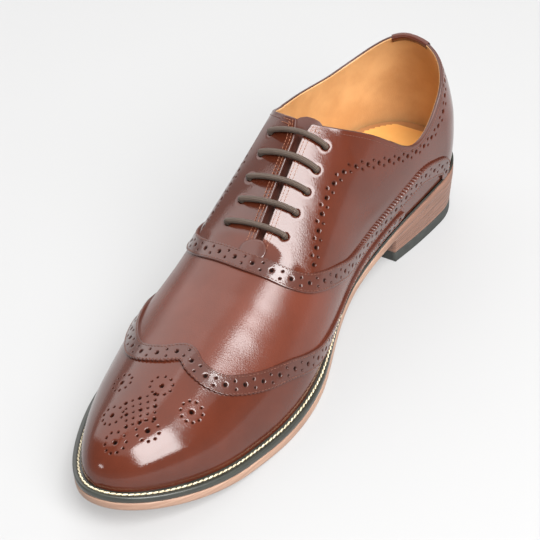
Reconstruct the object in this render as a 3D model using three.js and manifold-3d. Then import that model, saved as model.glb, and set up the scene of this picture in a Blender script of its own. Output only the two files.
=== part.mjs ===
// Wing-tip brogue shoe, right foot: leather upper on a welted sole with a stacked heel.
// Millimetres. +X runs from heel to toe, +Y to the inner (big toe) side, +Z up. The floor is z = 0.
import * as THREE from "three";
import { mergeVertices } from "three/addons/utils/BufferGeometryUtils.js";
import Module from "manifold-3d";

const wasm = await Module();
wasm.setup();

// Driving sizes of the sole
const length = 302; // outsole, back of the heel to the tip of the toe
const ballWidth = 106; // outsole, at its widest
const heelHeight = 25; // underside of the outsole above the floor, at the back
const toeSpring = 15; // underside of the outsole above the floor, at the toe
const soleThickness = 4.5;
const weltThickness = 3.5;
const weltMargin = 4; // how far the welt stands out past the upper at the forefoot
const topPieceThickness = 6.5; // rubber lift that meets the floor
const heelLength = 82; // back of the heel to its breast
const heelTaper = 1.5; // how much the heel narrows towards the floor, on each side
const heelBreastLean = 3; // how far the breast slopes back towards the floor
const treadFlat = 0.6; // depth by which the rounded tread is planed flat at the ball

// Driving sizes of the upper
const instepHeight = 111; // top of the throat above the floor
const backHeight = 96; // topline at the back of the heel, above the floor
const wall = 2; // upper leather with its lining
const slotWidth = 5; // between the two facings
const overlayThickness = 1.1; // perforated bands
const bandWidth = 9.5;
const bandTaper = 0.03; // share of a band's length over which each end is rounded
const bandTip = 0.35; // width left at the very end, as a share
const tongueThickness = 1.6;
const insoleThickness = 3;
const insoleClearance = 1.5; // from the insole to the wall of the upper
const backLean = 10; // how far the back of the last leans forward at the topline
const backBulge = 4; // how far the heel swells back below it
const heelRound = 36; // plan radius of the back of the heel
const toeRound = 58; // length over which the toe narrows in plan
const toePower = 2.1; // how full that round is, 2 being a circle
const toeDrop = 34; // length over which the toe comes down
const toeDropPower = 2.3;
const laceDiameter = 3;
const eyeletDiameter = 4.4;
const gap = 0.3; // between pieces that meet

// Where features lie, as shares of the length
const throatShare = 0.39; // front of the collar, top of the facings
const slotEndShare = 0.585; // bottom of the facings
const slotFromShare = 0.29; // where the slot may start to cut into the topline
const facingRound = 0.08; // rounding of the facings' top corners, in places around
const facingRoundFade = 0.03; // share of the length in which that rounding runs out

// The next four tables have one row for every tenth of the length, back to front.
// outer and inner: half widths of the sole as shares of ballWidth. tread: height of its underside, as a
// share of heelHeight behind the ball and of toeSpring ahead of it. margin, rim: shares of weltMargin and
// weltThickness.
const soleRows = [
  { outer: 0.28, inner: 0.335, tread: 1, margin: 0.3, rim: 0.6 },
  { outer: 0.317, inner: 0.335, tread: 0.98, margin: 0.3, rim: 0.6 },
  { outer: 0.335, inner: 0.315, tread: 0.88, margin: 0.3, rim: 0.65 },
  { outer: 0.345, inner: 0.265, tread: 0.63, margin: 0.3, rim: 0.75 },
  { outer: 0.355, inner: 0.243, tread: 0.33, margin: 0.3, rim: 0.9 },
  { outer: 0.425, inner: 0.32, tread: 0.1, margin: 0.6, rim: 1 },
  { outer: 0.49, inner: 0.44, tread: 0, margin: 1, rim: 1 },
  { outer: 0.5, inner: 0.47, tread: 0, margin: 1, rim: 1 },
  { outer: 0.42, inner: 0.425, tread: 0.14, margin: 1, rim: 1 },
  { outer: 0.33, inner: 0.38, tread: 0.5, margin: 1, rim: 1 },
  { outer: 0.26, inner: 0.33, tread: 1, margin: 1, rim: 1 },
];

// ridge: height of the top of the last as a share of instepHeight. lean: how far the ridge lies to the
// inner side, as a share of ballWidth.
const ridgeRows = [
  { ridge: 1.25, lean: 0 },
  { ridge: 1.24, lean: 0 },
  { ridge: 1.25, lean: -0.01 },
  { ridge: 1.08, lean: -0.01 },
  { ridge: 0.922, lean: 0 },
  { ridge: 0.742, lean: 0.02 },
  { ridge: 0.59, lean: 0.07 },
  { ridge: 0.495, lean: 0.068 },
  { ridge: 0.42, lean: 0.045 },
  { ridge: 0.375, lean: 0.03 },
  { ridge: 0.365, lean: 0.025 },
];

// Half sections from the sole up to the ridge: side and top pull the wall up and out, swell is how far it
// bulges past the sole, all as shares of the half width and height.
const outerRows = [
  { outerSide: 0.45, outerTop: 0.55, outerSwell: 0.04 },
  { outerSide: 0.45, outerTop: 0.58, outerSwell: 0.12 },
  { outerSide: 0.51, outerTop: 0.75, outerSwell: 0.21 },
  { outerSide: 0.46, outerTop: 0.84, outerSwell: 0.2 },
  { outerSide: 0.42, outerTop: 0.93, outerSwell: 0.1 },
  { outerSide: 0.42, outerTop: 0.9, outerSwell: 0.05 },
  { outerSide: 0.45, outerTop: 0.68, outerSwell: 0.05 },
  { outerSide: 0.49, outerTop: 0.54, outerSwell: 0.06 },
  { outerSide: 0.53, outerTop: 0.53, outerSwell: 0.04 },
  { outerSide: 0.58, outerTop: 0.58, outerSwell: 0.03 },
  { outerSide: 0.6, outerTop: 0.6, outerSwell: 0.03 },
];
const innerRows = [
  { innerSide: 0.45, innerTop: 0.55, innerSwell: 0.08 },
  { innerSide: 0.45, innerTop: 0.6, innerSwell: 0.12 },
  { innerSide: 0.47, innerTop: 0.8, innerSwell: 0.3 },
  { innerSide: 0.46, innerTop: 0.9, innerSwell: 0.6 },
  { innerSide: 0.46, innerTop: 1.02, innerSwell: 0.72 },
  { innerSide: 0.46, innerTop: 0.98, innerSwell: 0.42 },
  { innerSide: 0.48, innerTop: 0.74, innerSwell: 0.12 },
  { innerSide: 0.5, innerTop: 0.52, innerSwell: 0.04 },
  { innerSide: 0.54, innerTop: 0.525, innerSwell: 0.03 },
  { innerSide: 0.58, innerTop: 0.58, innerSwell: 0.03 },
  { innerSide: 0.6, innerTop: 0.6, innerSwell: 0.03 },
];

// Height of the topline as a share of backHeight, from the back to the throat in five equal steps.
const topline = [
  { inner: 0.98, outer: 0.98 },
  { inner: 0.93, outer: 0.8 },
  { inner: 0.77, outer: 0.805 },
  { inner: 0.68, outer: 0.85 },
  { inner: 0.95, outer: 0.89 },
];

// Centre lines of the two perforated bands: along is a share of the length, around runs from 1 at the
// sole on the inner side, over the ridge at 0, to -1 at the sole on the outer side, and width is a share of
// bandWidth.
const wingBand = [
  { along: 0.255, around: 0.96, width: 0.5 },
  { along: 0.29, around: 0.95, width: 0.6 },
  { along: 0.33, around: 0.95, width: 0.65 },
  { along: 0.4, around: 0.945, width: 0.7 },
  { along: 0.47, around: 0.935, width: 0.8 },
  { along: 0.54, around: 0.89, width: 0.95 },
  { along: 0.6, around: 0.835, width: 1 },
  { along: 0.64, around: 0.765, width: 1 },
  { along: 0.676, around: 0.687, width: 1 },
  { along: 0.733, around: 0.58, width: 1 },
  { along: 0.777, around: 0.44, width: 1 },
  { along: 0.793, around: 0.308, width: 1 },
  { along: 0.791, around: 0.135, width: 1 },
  { along: 0.778, around: 0, width: 1 },
  { along: 0.791, around: -0.135, width: 1 },
  { along: 0.793, around: -0.308, width: 1 },
  { along: 0.777, around: -0.44, width: 1 },
  { along: 0.733, around: -0.58, width: 1 },
  { along: 0.676, around: -0.687, width: 1 },
  { along: 0.64, around: -0.765, width: 1 },
  { along: 0.6, around: -0.835, width: 1 },
  { along: 0.54, around: -0.89, width: 0.95 },
  { along: 0.47, around: -0.935, width: 0.8 },
  { along: 0.4, around: -0.945, width: 0.7 },
  { along: 0.33, around: -0.95, width: 0.65 },
  { along: 0.29, around: -0.95, width: 0.6 },
  { along: 0.255, around: -0.96, width: 0.5 },
];
const quarterBand = [
  { along: 0.125, around: 0.935, width: 0.9 },
  { along: 0.165, around: 0.9, width: 1 },
  { along: 0.2, around: 0.872, width: 1 },
  { along: 0.25, around: 0.863, width: 1 },
  { along: 0.305, around: 0.85, width: 1 },
  { along: 0.36, around: 0.825, width: 1 },
  { along: 0.41, around: 0.79, width: 1 },
  { along: 0.455, around: 0.735, width: 1 },
  { along: 0.492, around: 0.655, width: 1 },
  { along: 0.52, around: 0.587, width: 1 },
  { along: 0.548, around: 0.51, width: 1 },
  { along: 0.572, around: 0.425, width: 1 },
  { along: 0.592, around: 0.3, width: 1 },
  { along: 0.603, around: 0.14, width: 1 },
  { along: 0.607, around: 0, width: 1 },
  { along: 0.603, around: -0.14, width: 1 },
  { along: 0.592, around: -0.3, width: 1 },
  { along: 0.572, around: -0.425, width: 1 },
  { along: 0.548, around: -0.51, width: 1 },
  { along: 0.52, around: -0.587, width: 1 },
  { along: 0.492, around: -0.655, width: 1 },
  { along: 0.455, around: -0.735, width: 1 },
  { along: 0.41, around: -0.79, width: 1 },
  { along: 0.36, around: -0.825, width: 1 },
  { along: 0.305, around: -0.85, width: 1 },
  { along: 0.25, around: -0.863, width: 1 },
  { along: 0.2, around: -0.872, width: 1 },
  { along: 0.165, around: -0.9, width: 1 },
  { along: 0.125, around: -0.935, width: 0.9 },
];

// Eyelets from the top of the facings down: inner and outer ends of each bar of the lace.
const eyelets = [
  { innerAlong: 0.405, innerAround: 0.194, outerAlong: 0.41, outerAround: -0.178 },
  { innerAlong: 0.438, innerAround: 0.19, outerAlong: 0.445, outerAround: -0.162 },
  { innerAlong: 0.472, innerAround: 0.185, outerAlong: 0.484, outerAround: -0.164 },
  { innerAlong: 0.508, innerAround: 0.167, outerAlong: 0.518, outerAround: -0.156 },
  { innerAlong: 0.546, innerAround: 0.155, outerAlong: 0.551, outerAround: -0.19 },
];

const heelEnd = heelLength / length;
const shareGap = 0.006; // least distance between the last two rows of the heel

// How finely the surfaces are cut into flat faces
const rowsAlong = 44;
const rowsAround = 9;
const endCrowding = 0.75; // 0 spaces the rows evenly, 1 crowds them most at heel and toe

const lerp = THREE.MathUtils.lerp;
const clamp = THREE.MathUtils.clamp;

// Smooth curve near the values of an evenly spaced table, at share s of its length.
function smooth(values, s) {
  const last = values.length - 1;
  const ends = [2 * values[0] - values[1], ...values, 2 * values[last] - values[last - 1]];
  const place = clamp(s, 0, 1) * last;
  const i = Math.min(Math.floor(place), last - 1);
  const f = place - i;
  const weights = [(1 - f) ** 3, 3 * f ** 3 - 6 * f ** 2 + 4, -3 * f ** 3 + 3 * f ** 2 + 3 * f + 1, f ** 3];
  return weights.reduce((sum, w, k) => sum + (w / 6) * ends[i + k], 0);
}
const sections = soleRows.map((row, i) => ({ ...row, ...ridgeRows[i], ...outerRows[i], ...innerRows[i] }));
const columns = {};
for (const key of Object.keys(sections[0])) columns[key] = sections.map((row) => row[key]);
const column = (name, s) => smooth(columns[name], s);

// 0 at an end, rising in a round to 1 at a distance of radius from it.
function roundOff(distance, radius, power = 2) {
  const q = clamp(1 - distance / radius, 0, 1);
  return (1 - q ** power) ** (1 / power);
}

// How far the outline has come out to its full width between the two rounded ends
const endRound = (s) => roundOff(s * length, heelRound) * roundOff((1 - s) * length, toeRound, toePower);

// Point of the sole's outline at share s. follow 0 is the edge of the sole and 1 the line where the upper
// meets the welt; extra is further in. side: 1 inner, -1 outer.
function outline(s, side, follow, extra = 0) {
  const inset = (share) => follow * weltMargin * column("margin", share) + extra;
  const half = column(side > 0 ? "inner" : "outer", s) * ballWidth - inset(s);
  return new THREE.Vector2(lerp(inset(0), length - inset(1), s), side * half * endRound(s) || 0);
}

// Heights at a distance x from the back of the heel
const ballShare = 0.65; // where the sole meets the floor
const tread = (x) => {
  const share = x / length;
  return Math.max(0, column("tread", share) * (share < ballShare ? heelHeight : toeSpring) - treadFlat);
};
const soleTop = (x) => tread(x) + soleThickness;
const weltTop = (x) => soleTop(x) + column("rim", x / length) * weltThickness;
const feather = (x) => weltTop(x) + gap;

// Outside of the upper at share s and place v around it: 1 inner feather edge, 0 ridge, -1 outer one.
function base(s, v) {
  const side = v < 0 ? -1 : 1;
  const name = v < 0 ? "outer" : "inner";
  const t = 1 - Math.abs(v);
  const q = Math.abs(v);
  const edge = outline(s, side, 1);
  const low = feather(edge.x);
  const toeRise = roundOff((1 - s) * length, toeDrop, toeDropPower);
  const high = lerp(low, column("ridge", s) * instepHeight, toeRise);
  const ridgeY = column("lean", s) * ballWidth * endRound(s);
  const swollen = 1 + column(name + "Swell", s);
  const outwards = q ** 3 + 3 * q * q * t * swollen + 3 * q * t * t * column(name + "Top", s);
  const upwards = 3 * q * q * t * column(name + "Side", s) + 3 * q * t * t + t ** 3;
  const z = lerp(low, high, upwards);
  const rise = clamp((z - low) / (backHeight - low), 0, 1.3);
  const fade = clamp(1 - s / throatShare, 0, 1) ** 2;
  const lean = backLean * rise ** 2 - backBulge * Math.sin(Math.PI * clamp(rise, 0, 1));
  return new THREE.Vector3(edge.x + fade * lean, lerp(ridgeY, edge.y, outwards), z);
}

// The same surface moved out by off along its normal.
function skin(s, v, off = 0) {
  const point = base(s, v);
  const step = 1e-3;
  const sNear = clamp(s, step, 1 - 2 * step);
  const vNear = clamp(v, -1 + step, 1 - step);
  const alongS = base(sNear + step, vNear).sub(base(sNear - step, vNear));
  const alongV = base(sNear, vNear + step).sub(base(sNear, vNear - step));
  const normal = alongS.cross(alongV).normalize();
  if (s <= 0) {
    const up = base(0, Math.abs(vNear) - step).sub(base(0, Math.abs(vNear) + step));
    normal.set(-up.z, 0, up.x).normalize();
  }
  if (s >= 1) normal.set(1, 0, 0);
  return point.addScaledVector(normal, off);
}

// Height of the topline at share s, and how far up the wall it is met, as a place around.
const backShare = (s) => s / throatShare;
function toplineHeight(s, side) {
  const name = side > 0 ? "inner" : "outer";
  const heights = [...topline.map((row) => row[name] * backHeight), base(throatShare, 0).z];
  return smooth(heights, backShare(s));
}
function search(test) {
  let [low, high] = [0, 1];
  for (let k = 0; k < 30; k++) {
    const middle = (low + high) / 2;
    if (test(middle)) high = middle;
    else low = middle;
  }
  return (low + high) / 2;
}
function openEdge(s, side) {
  const target = toplineHeight(s, side);
  const collar = s < throatShare ? search((q) => base(s, side * q).z < target) : 0;
  if (s < slotFromShare) return collar;
  const slot = search((q) => Math.abs(base(s, side * q).y - base(s, 0).y) > slotWidth / 2);
  const round = facingRound * clamp(1 - (s - throatShare) / facingRoundFade, 0, 1);
  return (collar + slot + Math.hypot(collar - slot, round)) / 2;
}

// Turns quads of points into a solid. Points that coincide are joined.
function solidOf(quads) {
  const position = [];
  for (const [a, b, c, d] of quads) {
    for (const point of [a, b, c, a, c, d]) position.push(point.x, point.y, point.z);
  }
  const geometry = new THREE.BufferGeometry();
  geometry.setAttribute("position", new THREE.Float32BufferAttribute(position, 3));
  return solidFrom(geometry);
}
function solidFrom(geometry) {
  const bare = geometry.index ? geometry.toNonIndexed() : geometry;
  bare.deleteAttribute("normal");
  bare.deleteAttribute("uv");
  const merged = mergeVertices(bare, 1e-3);
  const index = merged.index.array;
  const triangles = [];
  for (let i = 0; i < index.length; i += 3) {
    const [a, b, c] = index.subarray(i, i + 3);
    if (a !== b && b !== c && c !== a) triangles.push(a, b, c);
  }
  const vertProperties = merged.attributes.position.array;
  const triVerts = new Uint32Array(triangles);
  return new wasm.Manifold(new wasm.Mesh({ numProp: 3, vertProperties, triVerts }));
}
function geometryOf(solid) {
  const mesh = solid.getMesh();
  const geometry = new THREE.BufferGeometry();
  geometry.setAttribute("position", new THREE.BufferAttribute(new Float32Array(mesh.vertProperties), 3));
  geometry.setIndex(new THREE.BufferAttribute(new Uint32Array(mesh.triVerts), 1));
  geometry.computeVertexNormals();
  return geometry;
}

// Quads between two grids of points (outside first), with walls round the four borders of the grid.
function slab(outer, inner) {
  const quads = [];
  const rows = outer.length - 1;
  const cols = outer[0].length - 1;
  for (let i = 0; i < rows; i++) {
    for (let j = 0; j < cols; j++) {
      quads.push([outer[i][j], outer[i][j + 1], outer[i + 1][j + 1], outer[i + 1][j]]);
      quads.push([inner[i][j], inner[i + 1][j], inner[i + 1][j + 1], inner[i][j + 1]]);
    }
    quads.push([outer[i][0], outer[i + 1][0], inner[i + 1][0], inner[i][0]]);
    quads.push([outer[i + 1][cols], outer[i][cols], inner[i][cols], inner[i + 1][cols]]);
  }
  for (let j = 0; j < cols; j++) {
    quads.push([outer[0][j + 1], outer[0][j], inner[0][j], inner[0][j + 1]]);
    quads.push([outer[rows][j], outer[rows][j + 1], inner[rows][j + 1], inner[rows][j]]);
  }
  return quads;
}

// Shares along the shoe, closer together at both ends, with one row at the end of the lace opening.
function stations(count = rowsAlong) {
  const shares = Array.from({ length: count + 1 }, (_, i) => {
    const u = i / count;
    return lerp(u, (1 - Math.cos(Math.PI * u)) / 2, endCrowding);
  });
  for (const fixed of [throatShare, slotEndShare]) {
    const away = shares.map((s) => Math.abs(s - fixed));
    shares[away.indexOf(Math.min(...away))] = fixed;
  }
  return shares;
}

// Points up one wall from the feather edge to the topline, the slot or the ridge.
function wallRow(s, side, off) {
  const top = s <= slotEndShare ? openEdge(s, side) : 0;
  return Array.from({ length: rowsAround + 1 }, (_, j) => {
    const v = side * lerp(1, top, j / rowsAround) || 0;
    return skin(s, v, off);
  });
}

// Upper: outside and inside skins joined by the topline, the facing edges and the feather edge.
function upperShell() {
  const shares = stations();
  const quads = [];
  for (const side of [1, -1]) {
    const grid = (off) => shares.map((s) => wallRow(s, side, off));
    const [outer, inner] = [grid(0), grid(-wall)];
    const turn = (quad) => (side < 0 ? quad : quad.reverse());
    for (let i = 0; i < shares.length - 1; i++) {
      for (let j = 0; j < rowsAround; j++) {
        quads.push(turn([outer[i][j], outer[i + 1][j], outer[i + 1][j + 1], outer[i][j + 1]]));
        quads.push(turn([inner[i][j + 1], inner[i + 1][j + 1], inner[i + 1][j], inner[i][j]]));
      }
      quads.push(turn([inner[i][0], inner[i + 1][0], outer[i + 1][0], outer[i][0]]));
      if (shares[i] <= slotEndShare) {
        const n = rowsAround;
        quads.push(turn([outer[i][n], outer[i + 1][n], inner[i + 1][n], inner[i][n]]));
      }
    }
  }
  return solidOf(quads);
}

// The whole form of the last, closed over the collar and underneath, moved out by off.
function lastForm(off) {
  const shares = stations();
  const quads = [];
  const rings = shares.map((s) => [...wallRow(s, 1, off), ...wallRow(s, -1, off).reverse()]);
  const count = rings[0].length;
  for (let i = 0; i < rings.length - 1; i++) {
    for (let j = 0; j < count; j++) {
      const k = (j + 1) % count;
      quads.push([rings[i][k], rings[i + 1][k], rings[i + 1][j], rings[i][j]]);
    }
  }
  return solidOf(quads);
}

// Centre line of a band as a smooth curve in (along, around).
function bandCurve(table) {
  return new THREE.CatmullRomCurve3(
    table.map((row) => new THREE.Vector3(row.along, row.around, row.width)),
    false,
    "centripetal",
  );
}

// A strip laid on the upper along a curve, between two offsets.
function strip(curve, width, low, high, steps, across = 2) {
  const step = 1e-3;
  const rows = Array.from({ length: steps + 1 }, (_, i) => {
    const u = i / steps;
    const here = curve.getPoint(u);
    const ahead = curve.getPoint(Math.min(1, u + step)).sub(curve.getPoint(Math.max(0, u - step)));
    const alongS = base(here.x + step, here.y).sub(base(here.x - step, here.y)).divideScalar(2 * step);
    const alongV = base(here.x, here.y + step).sub(base(here.x, here.y - step)).divideScalar(2 * step);
    const direction = alongS.clone().multiplyScalar(ahead.x).addScaledVector(alongV, ahead.y).normalize();
    const sideways = alongS.clone().cross(alongV).cross(direction).normalize();
    const [a, b, c] = [alongS.dot(alongS), alongS.dot(alongV), alongV.dot(alongV)];
    const [p, q] = [alongS.dot(sideways), alongV.dot(sideways)];
    const det = a * c - b * b;
    const round = roundOff(Math.min(u, 1 - u), bandTaper);
    return [1, -1].map((end) => {
      const distance = (end * width * here.z * lerp(bandTip, 1, round)) / 2;
      const ds = ((p * c - q * b) / det) * distance;
      const dv = ((q * a - p * b) / det) * distance;
      return new THREE.Vector2(here.x + ds, clamp(here.y + dv, -1, 1));
    });
  });
  const grid = (off) =>
    rows.map(([from, to]) =>
      Array.from({ length: across + 1 }, (_, j) => {
        const at = from.clone().lerp(to, j / across);
        return skin(at.x, at.y, off);
      }),
    );
  return solidOf(slab(grid(high), grid(low)));
}

// A ring that follows the sole's outline from one line in to another, between two heights.
function outlineRing(outside, inside, bottom, top) {
  const shares = stations();
  const there = shares.map((s) => [s, 1]);
  const back = shares.slice(1, -1).map((s) => [s, -1]);
  const loop = [...there, ...back.reverse()];
  const at = (s, side, line, height) => {
    const point = outline(s, side, ...line);
    return new THREE.Vector3(point.x, point.y, height(point.x));
  };
  const rings = loop.map(([s, side]) => [
    at(s, side, outside, bottom),
    at(s, side, outside, top),
    at(s, side, inside, top),
    at(s, side, inside, bottom),
  ]);
  const quads = [];
  rings.forEach((ring, i) => {
    const next = rings[(i + 1) % rings.length];
    for (let j = 0; j < 4; j++) {
      const k = (j + 1) % 4;
      quads.push([ring[j], ring[k], next[k], next[j]]);
    }
  });
  return solidOf(quads);
}

// Quads along a row of rings of four points, closed at both ends.
function ringQuads(rings) {
  const quads = [];
  for (let i = 0; i < rings.length - 1; i++) {
    for (let j = 0; j < 4; j++) {
      const k = (j + 1) % 4;
      quads.push([rings[i][j], rings[i][k], rings[i + 1][k], rings[i + 1][j]]);
    }
  }
  const last = rings[rings.length - 1];
  quads.push([last[0], last[1], last[2], last[3]]);
  const first = rings[0];
  quads.push([first[3], first[2], first[1], first[0]]);
  return quads;
}

// A plate with the sole's outline, moved in to a line, between two heights.
function plate(line, bottom, top) {
  const rings = stations().map((s) => {
    const [inner, outer] = [outline(s, 1, ...line), outline(s, -1, ...line)];
    return [
      new THREE.Vector3(inner.x, inner.y, bottom(inner.x)),
      new THREE.Vector3(inner.x, inner.y, top(inner.x)),
      new THREE.Vector3(outer.x, outer.y, top(outer.x)),
      new THREE.Vector3(outer.x, outer.y, bottom(outer.x)),
    ];
  });
  return solidOf(ringQuads(rings));
}

// A block of the heel: the sole's outline back from the breast, moved in by two insets, between two heights.
function heelBlock(bottomInset, topInset, bottom, top) {
  const shares = stations().filter((s) => s < heelEnd - shareGap);
  shares.push(heelEnd);
  const corner = (s, side, inset, height) => {
    const point = outline(s, side, 0, inset);
    const z = height(point.x);
    const breast = (s / heelEnd) ** 4 * heelBreastLean * (1 - z / heelHeight);
    return new THREE.Vector3(point.x - breast - (s / heelEnd) * inset, point.y, z);
  };
  const rings = shares.map((s) => [
    corner(s, 1, bottomInset, bottom),
    corner(s, 1, topInset, top),
    corner(s, -1, topInset, top),
    corner(s, -1, bottomInset, bottom),
  ]);
  return solidOf(ringQuads(rings));
}

const shoe = new THREE.Group();
shoe.name = "brogue_shoe";
function add(name, solid, color, roughness) {
  const material = new THREE.MeshStandardMaterial({ color, roughness, metalness: 0 });
  const mesh = new THREE.Mesh(geometryOf(solid), material);
  mesh.name = name;
  shoe.add(mesh);
}

// Place of an eyelet as [share along, place around]
function eyeletPlace(row, side) {
  if (side > 0) return [row.innerAlong, row.innerAround];
  return [row.outerAlong, row.outerAround];
}
function hole(s, v, diameter, depth) {
  const [from, to] = [skin(s, v, -depth), skin(s, v, depth)];
  const axis = to.clone().sub(from);
  const geometry = new THREE.CylinderGeometry(diameter / 2, diameter / 2, axis.length(), 10);
  const upright = new THREE.Vector3(0, 1, 0);
  const turn = new THREE.Quaternion().setFromUnitVectors(upright, axis.clone().normalize());
  geometry.applyQuaternion(turn).translate(...from.add(to).divideScalar(2).toArray());
  return solidFrom(geometry);
}

// Sole: the outsole is raised in the middle to meet the insole inside the welt
const weltLap = 1.5;
const weltReach = wall + weltLap; // how far the welt reaches in under the wall of the upper
const soleEdge = [0, 0];
const middle = plate([1, weltReach + gap], (x) => soleTop(x) - soleThickness / 2, weltTop);
add("outsole", plate(soleEdge, tread, soleTop).add(middle), 0x9a6a48, 0.6);
add("welt", outlineRing([0, 0.2], [1, weltReach], (x) => soleTop(x) + gap, weltTop), 0x34362f, 0.55);

// Heel: stacked leather lifts cut to follow the underside of the sole, over a rubber lift
const stack = heelBlock(heelTaper, 0, () => topPieceThickness + gap, (x) => tread(x) - gap);
add("heel_stack", stack, 0x8d6449, 0.6);
add("heel_top_piece", heelBlock(heelTaper, heelTaper, () => 0, () => topPieceThickness), 0x3f403d, 0.8);

// Insole, inside the wall of the upper
const insoleBottom = (x) => weltTop(x) + gap;
const insoleTop = (x) => insoleBottom(x) + insoleThickness;
add("insole", plate([1, wall + insoleClearance], insoleBottom, insoleTop), 0xc9935c, 0.7);

// Upper with its punched eyelets
let leather = upperShell();
for (const row of eyelets) {
  for (const side of [1, -1]) {
    const [s, v] = eyeletPlace(row, side);
    leather = leather.subtract(hole(s, v, eyeletDiameter, 2 * wall));
  }
}
add("upper", leather, 0x7a402c, 0.35);

// Perforated bands, laid on the upper
const clearOfUpper = lastForm(gap);
const bands = [
  ["wing_band", wingBand, 44],
  ["quarter_band", quarterBand, 48],
];
for (const [name, table, steps] of bands) {
  const laid = strip(bandCurve(table), bandWidth, -wall / 2, gap + overlayThickness, steps);
  add(name, laid.subtract(clearOfUpper), 0x6f3826, 0.4);
}

// Tongue, under the facings and the hidden runs of the lace
const laceRadius = laceDiameter / 2;
const laceRoom = 0.5; // between the wall and the hidden runs of the lace
const laceDepth = wall + laceRoom + laceRadius; // middle of the hidden runs, below the outside of the upper
const tongueTop = wall + laceRoom + laceDiameter + gap;
const tongueHalf = 20; // half its width
const tongueReach = 0.02; // how far it runs on under the vamp, as a share of the length
const tongueRise = 0.012; // how far it stands out above the throat, as a share of the length
const tongueRows = 12;
const tongueColumns = 10;
function tonguePlate() {
  const from = throatShare - tongueRise;
  const to = slotEndShare + tongueReach;
  const reach = (s, side) => search((q) => Math.abs(base(s, side * q).y - base(s, 0).y) > tongueHalf);
  const rows = Array.from({ length: tongueRows + 1 }, (_, i) => {
    const s = lerp(from, to, i / tongueRows);
    const [left, right] = [reach(s, 1), -reach(s, -1)];
    return Array.from({ length: tongueColumns + 1 }, (_, j) => [s, lerp(left, right, j / tongueColumns)]);
  });
  const grid = (off) => rows.map((row) => row.map(([s, v]) => skin(s, v, off)));
  return solidOf(slab(grid(-tongueTop), grid(-tongueTop - tongueThickness)));
}
add("tongue", tonguePlate(), 0x3a2018, 0.5);

// Lace: straight bars on top, joined by hidden runs under the facings, in and out through the eyelets
const laceLift = laceRadius + gap; // middle of the bars above the upper
const laceBend = 2; // radius of the turns at the eyelets
const laceTail = 6; // hidden length past the first and last eyelets
const barSteps = 6;
const runSteps = 1; // of each hidden run
const cordSides = 8;
const straightAngle = 2.6; // radians, above which a corner of the path is left as it is
function laceCorners() {
  const corners = [];
  const tail = laceTail / length;
  const run = (from, to, steps, off) => {
    for (let k = 0; k <= steps; k++) {
      const u = k / steps;
      corners.push(skin(lerp(from[0], to[0], u), lerp(from[1], to[1], u), off));
    }
  };
  let before = null;
  eyelets.forEach((row, i) => {
    const side = i % 2 ? -1 : 1;
    const [here, there] = [eyeletPlace(row, side), eyeletPlace(row, -side)];
    run(before ?? [here[0] + tail, here[1]], here, runSteps, -laceDepth);
    run(here, there, barSteps, laceLift);
    before = there;
  });
  run(before, [before[0] + tail, before[1]], runSteps, -laceDepth);
  return corners;
}
function cord(corners, radius, bend, sides) {
  const path = [corners[0]];
  for (let i = 1; i < corners.length - 1; i++) {
    const [before, here, after] = [corners[i - 1], corners[i], corners[i + 1]];
    const [back, on] = [before.clone().sub(here), after.clone().sub(here)];
    if (back.angleTo(on) > straightAngle) {
      path.push(here);
      continue;
    }
    const turn = new THREE.QuadraticBezierCurve3(
      here.clone().addScaledVector(back.clone().normalize(), Math.min(bend, back.length() / 2)),
      here,
      here.clone().addScaledVector(on.clone().normalize(), Math.min(bend, on.length() / 2)),
    );
    path.push(...turn.getPoints(4));
  }
  path.push(corners[corners.length - 1]);
  const count = path.length;
  const tangents = path.map((_, i) => {
    const ahead = path[Math.min(i + 1, count - 1)].clone();
    return ahead.sub(path[Math.max(i - 1, 0)]).normalize();
  });
  const normal = new THREE.Vector3(0, 0, 1);
  const rings = path.map((point, i) => {
    normal.addScaledVector(tangents[i], -normal.dot(tangents[i])).normalize();
    const other = tangents[i].clone().cross(normal);
    return Array.from({ length: sides }, (_, k) => {
      const angle = (2 * Math.PI * (k + 0.5)) / sides;
      const spoke = normal.clone().multiplyScalar(radius * Math.cos(angle));
      return spoke.addScaledVector(other, radius * Math.sin(angle)).add(point);
    });
  });
  const quads = [];
  const [first, last] = [rings[0], rings[count - 1]];
  for (let k = 0; k < sides; k++) {
    const n = (k + 1) % sides;
    for (let i = 0; i < count - 1; i++) {
      quads.push([rings[i][n], rings[i + 1][n], rings[i + 1][k], rings[i][k]]);
    }
    quads.push([first[n], first[n], first[k], path[0]]);
    quads.push([last[k], last[k], last[n], path[count - 1]]);
  }
  return solidOf(quads);
}
add("lace", cord(laceCorners(), laceRadius, laceBend, cordSides), 0x5f5048, 0.8);

const box = new THREE.Box3().setFromObject(shoe);
shoe.position.set(-(box.min.x + box.max.x) / 2, -(box.min.y + box.max.y) / 2, -box.min.z);
shoe.updateMatrixWorld(true);
export default shoe;
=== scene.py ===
import math
import bpy
import numpy as np
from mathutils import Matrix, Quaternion, Vector


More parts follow.
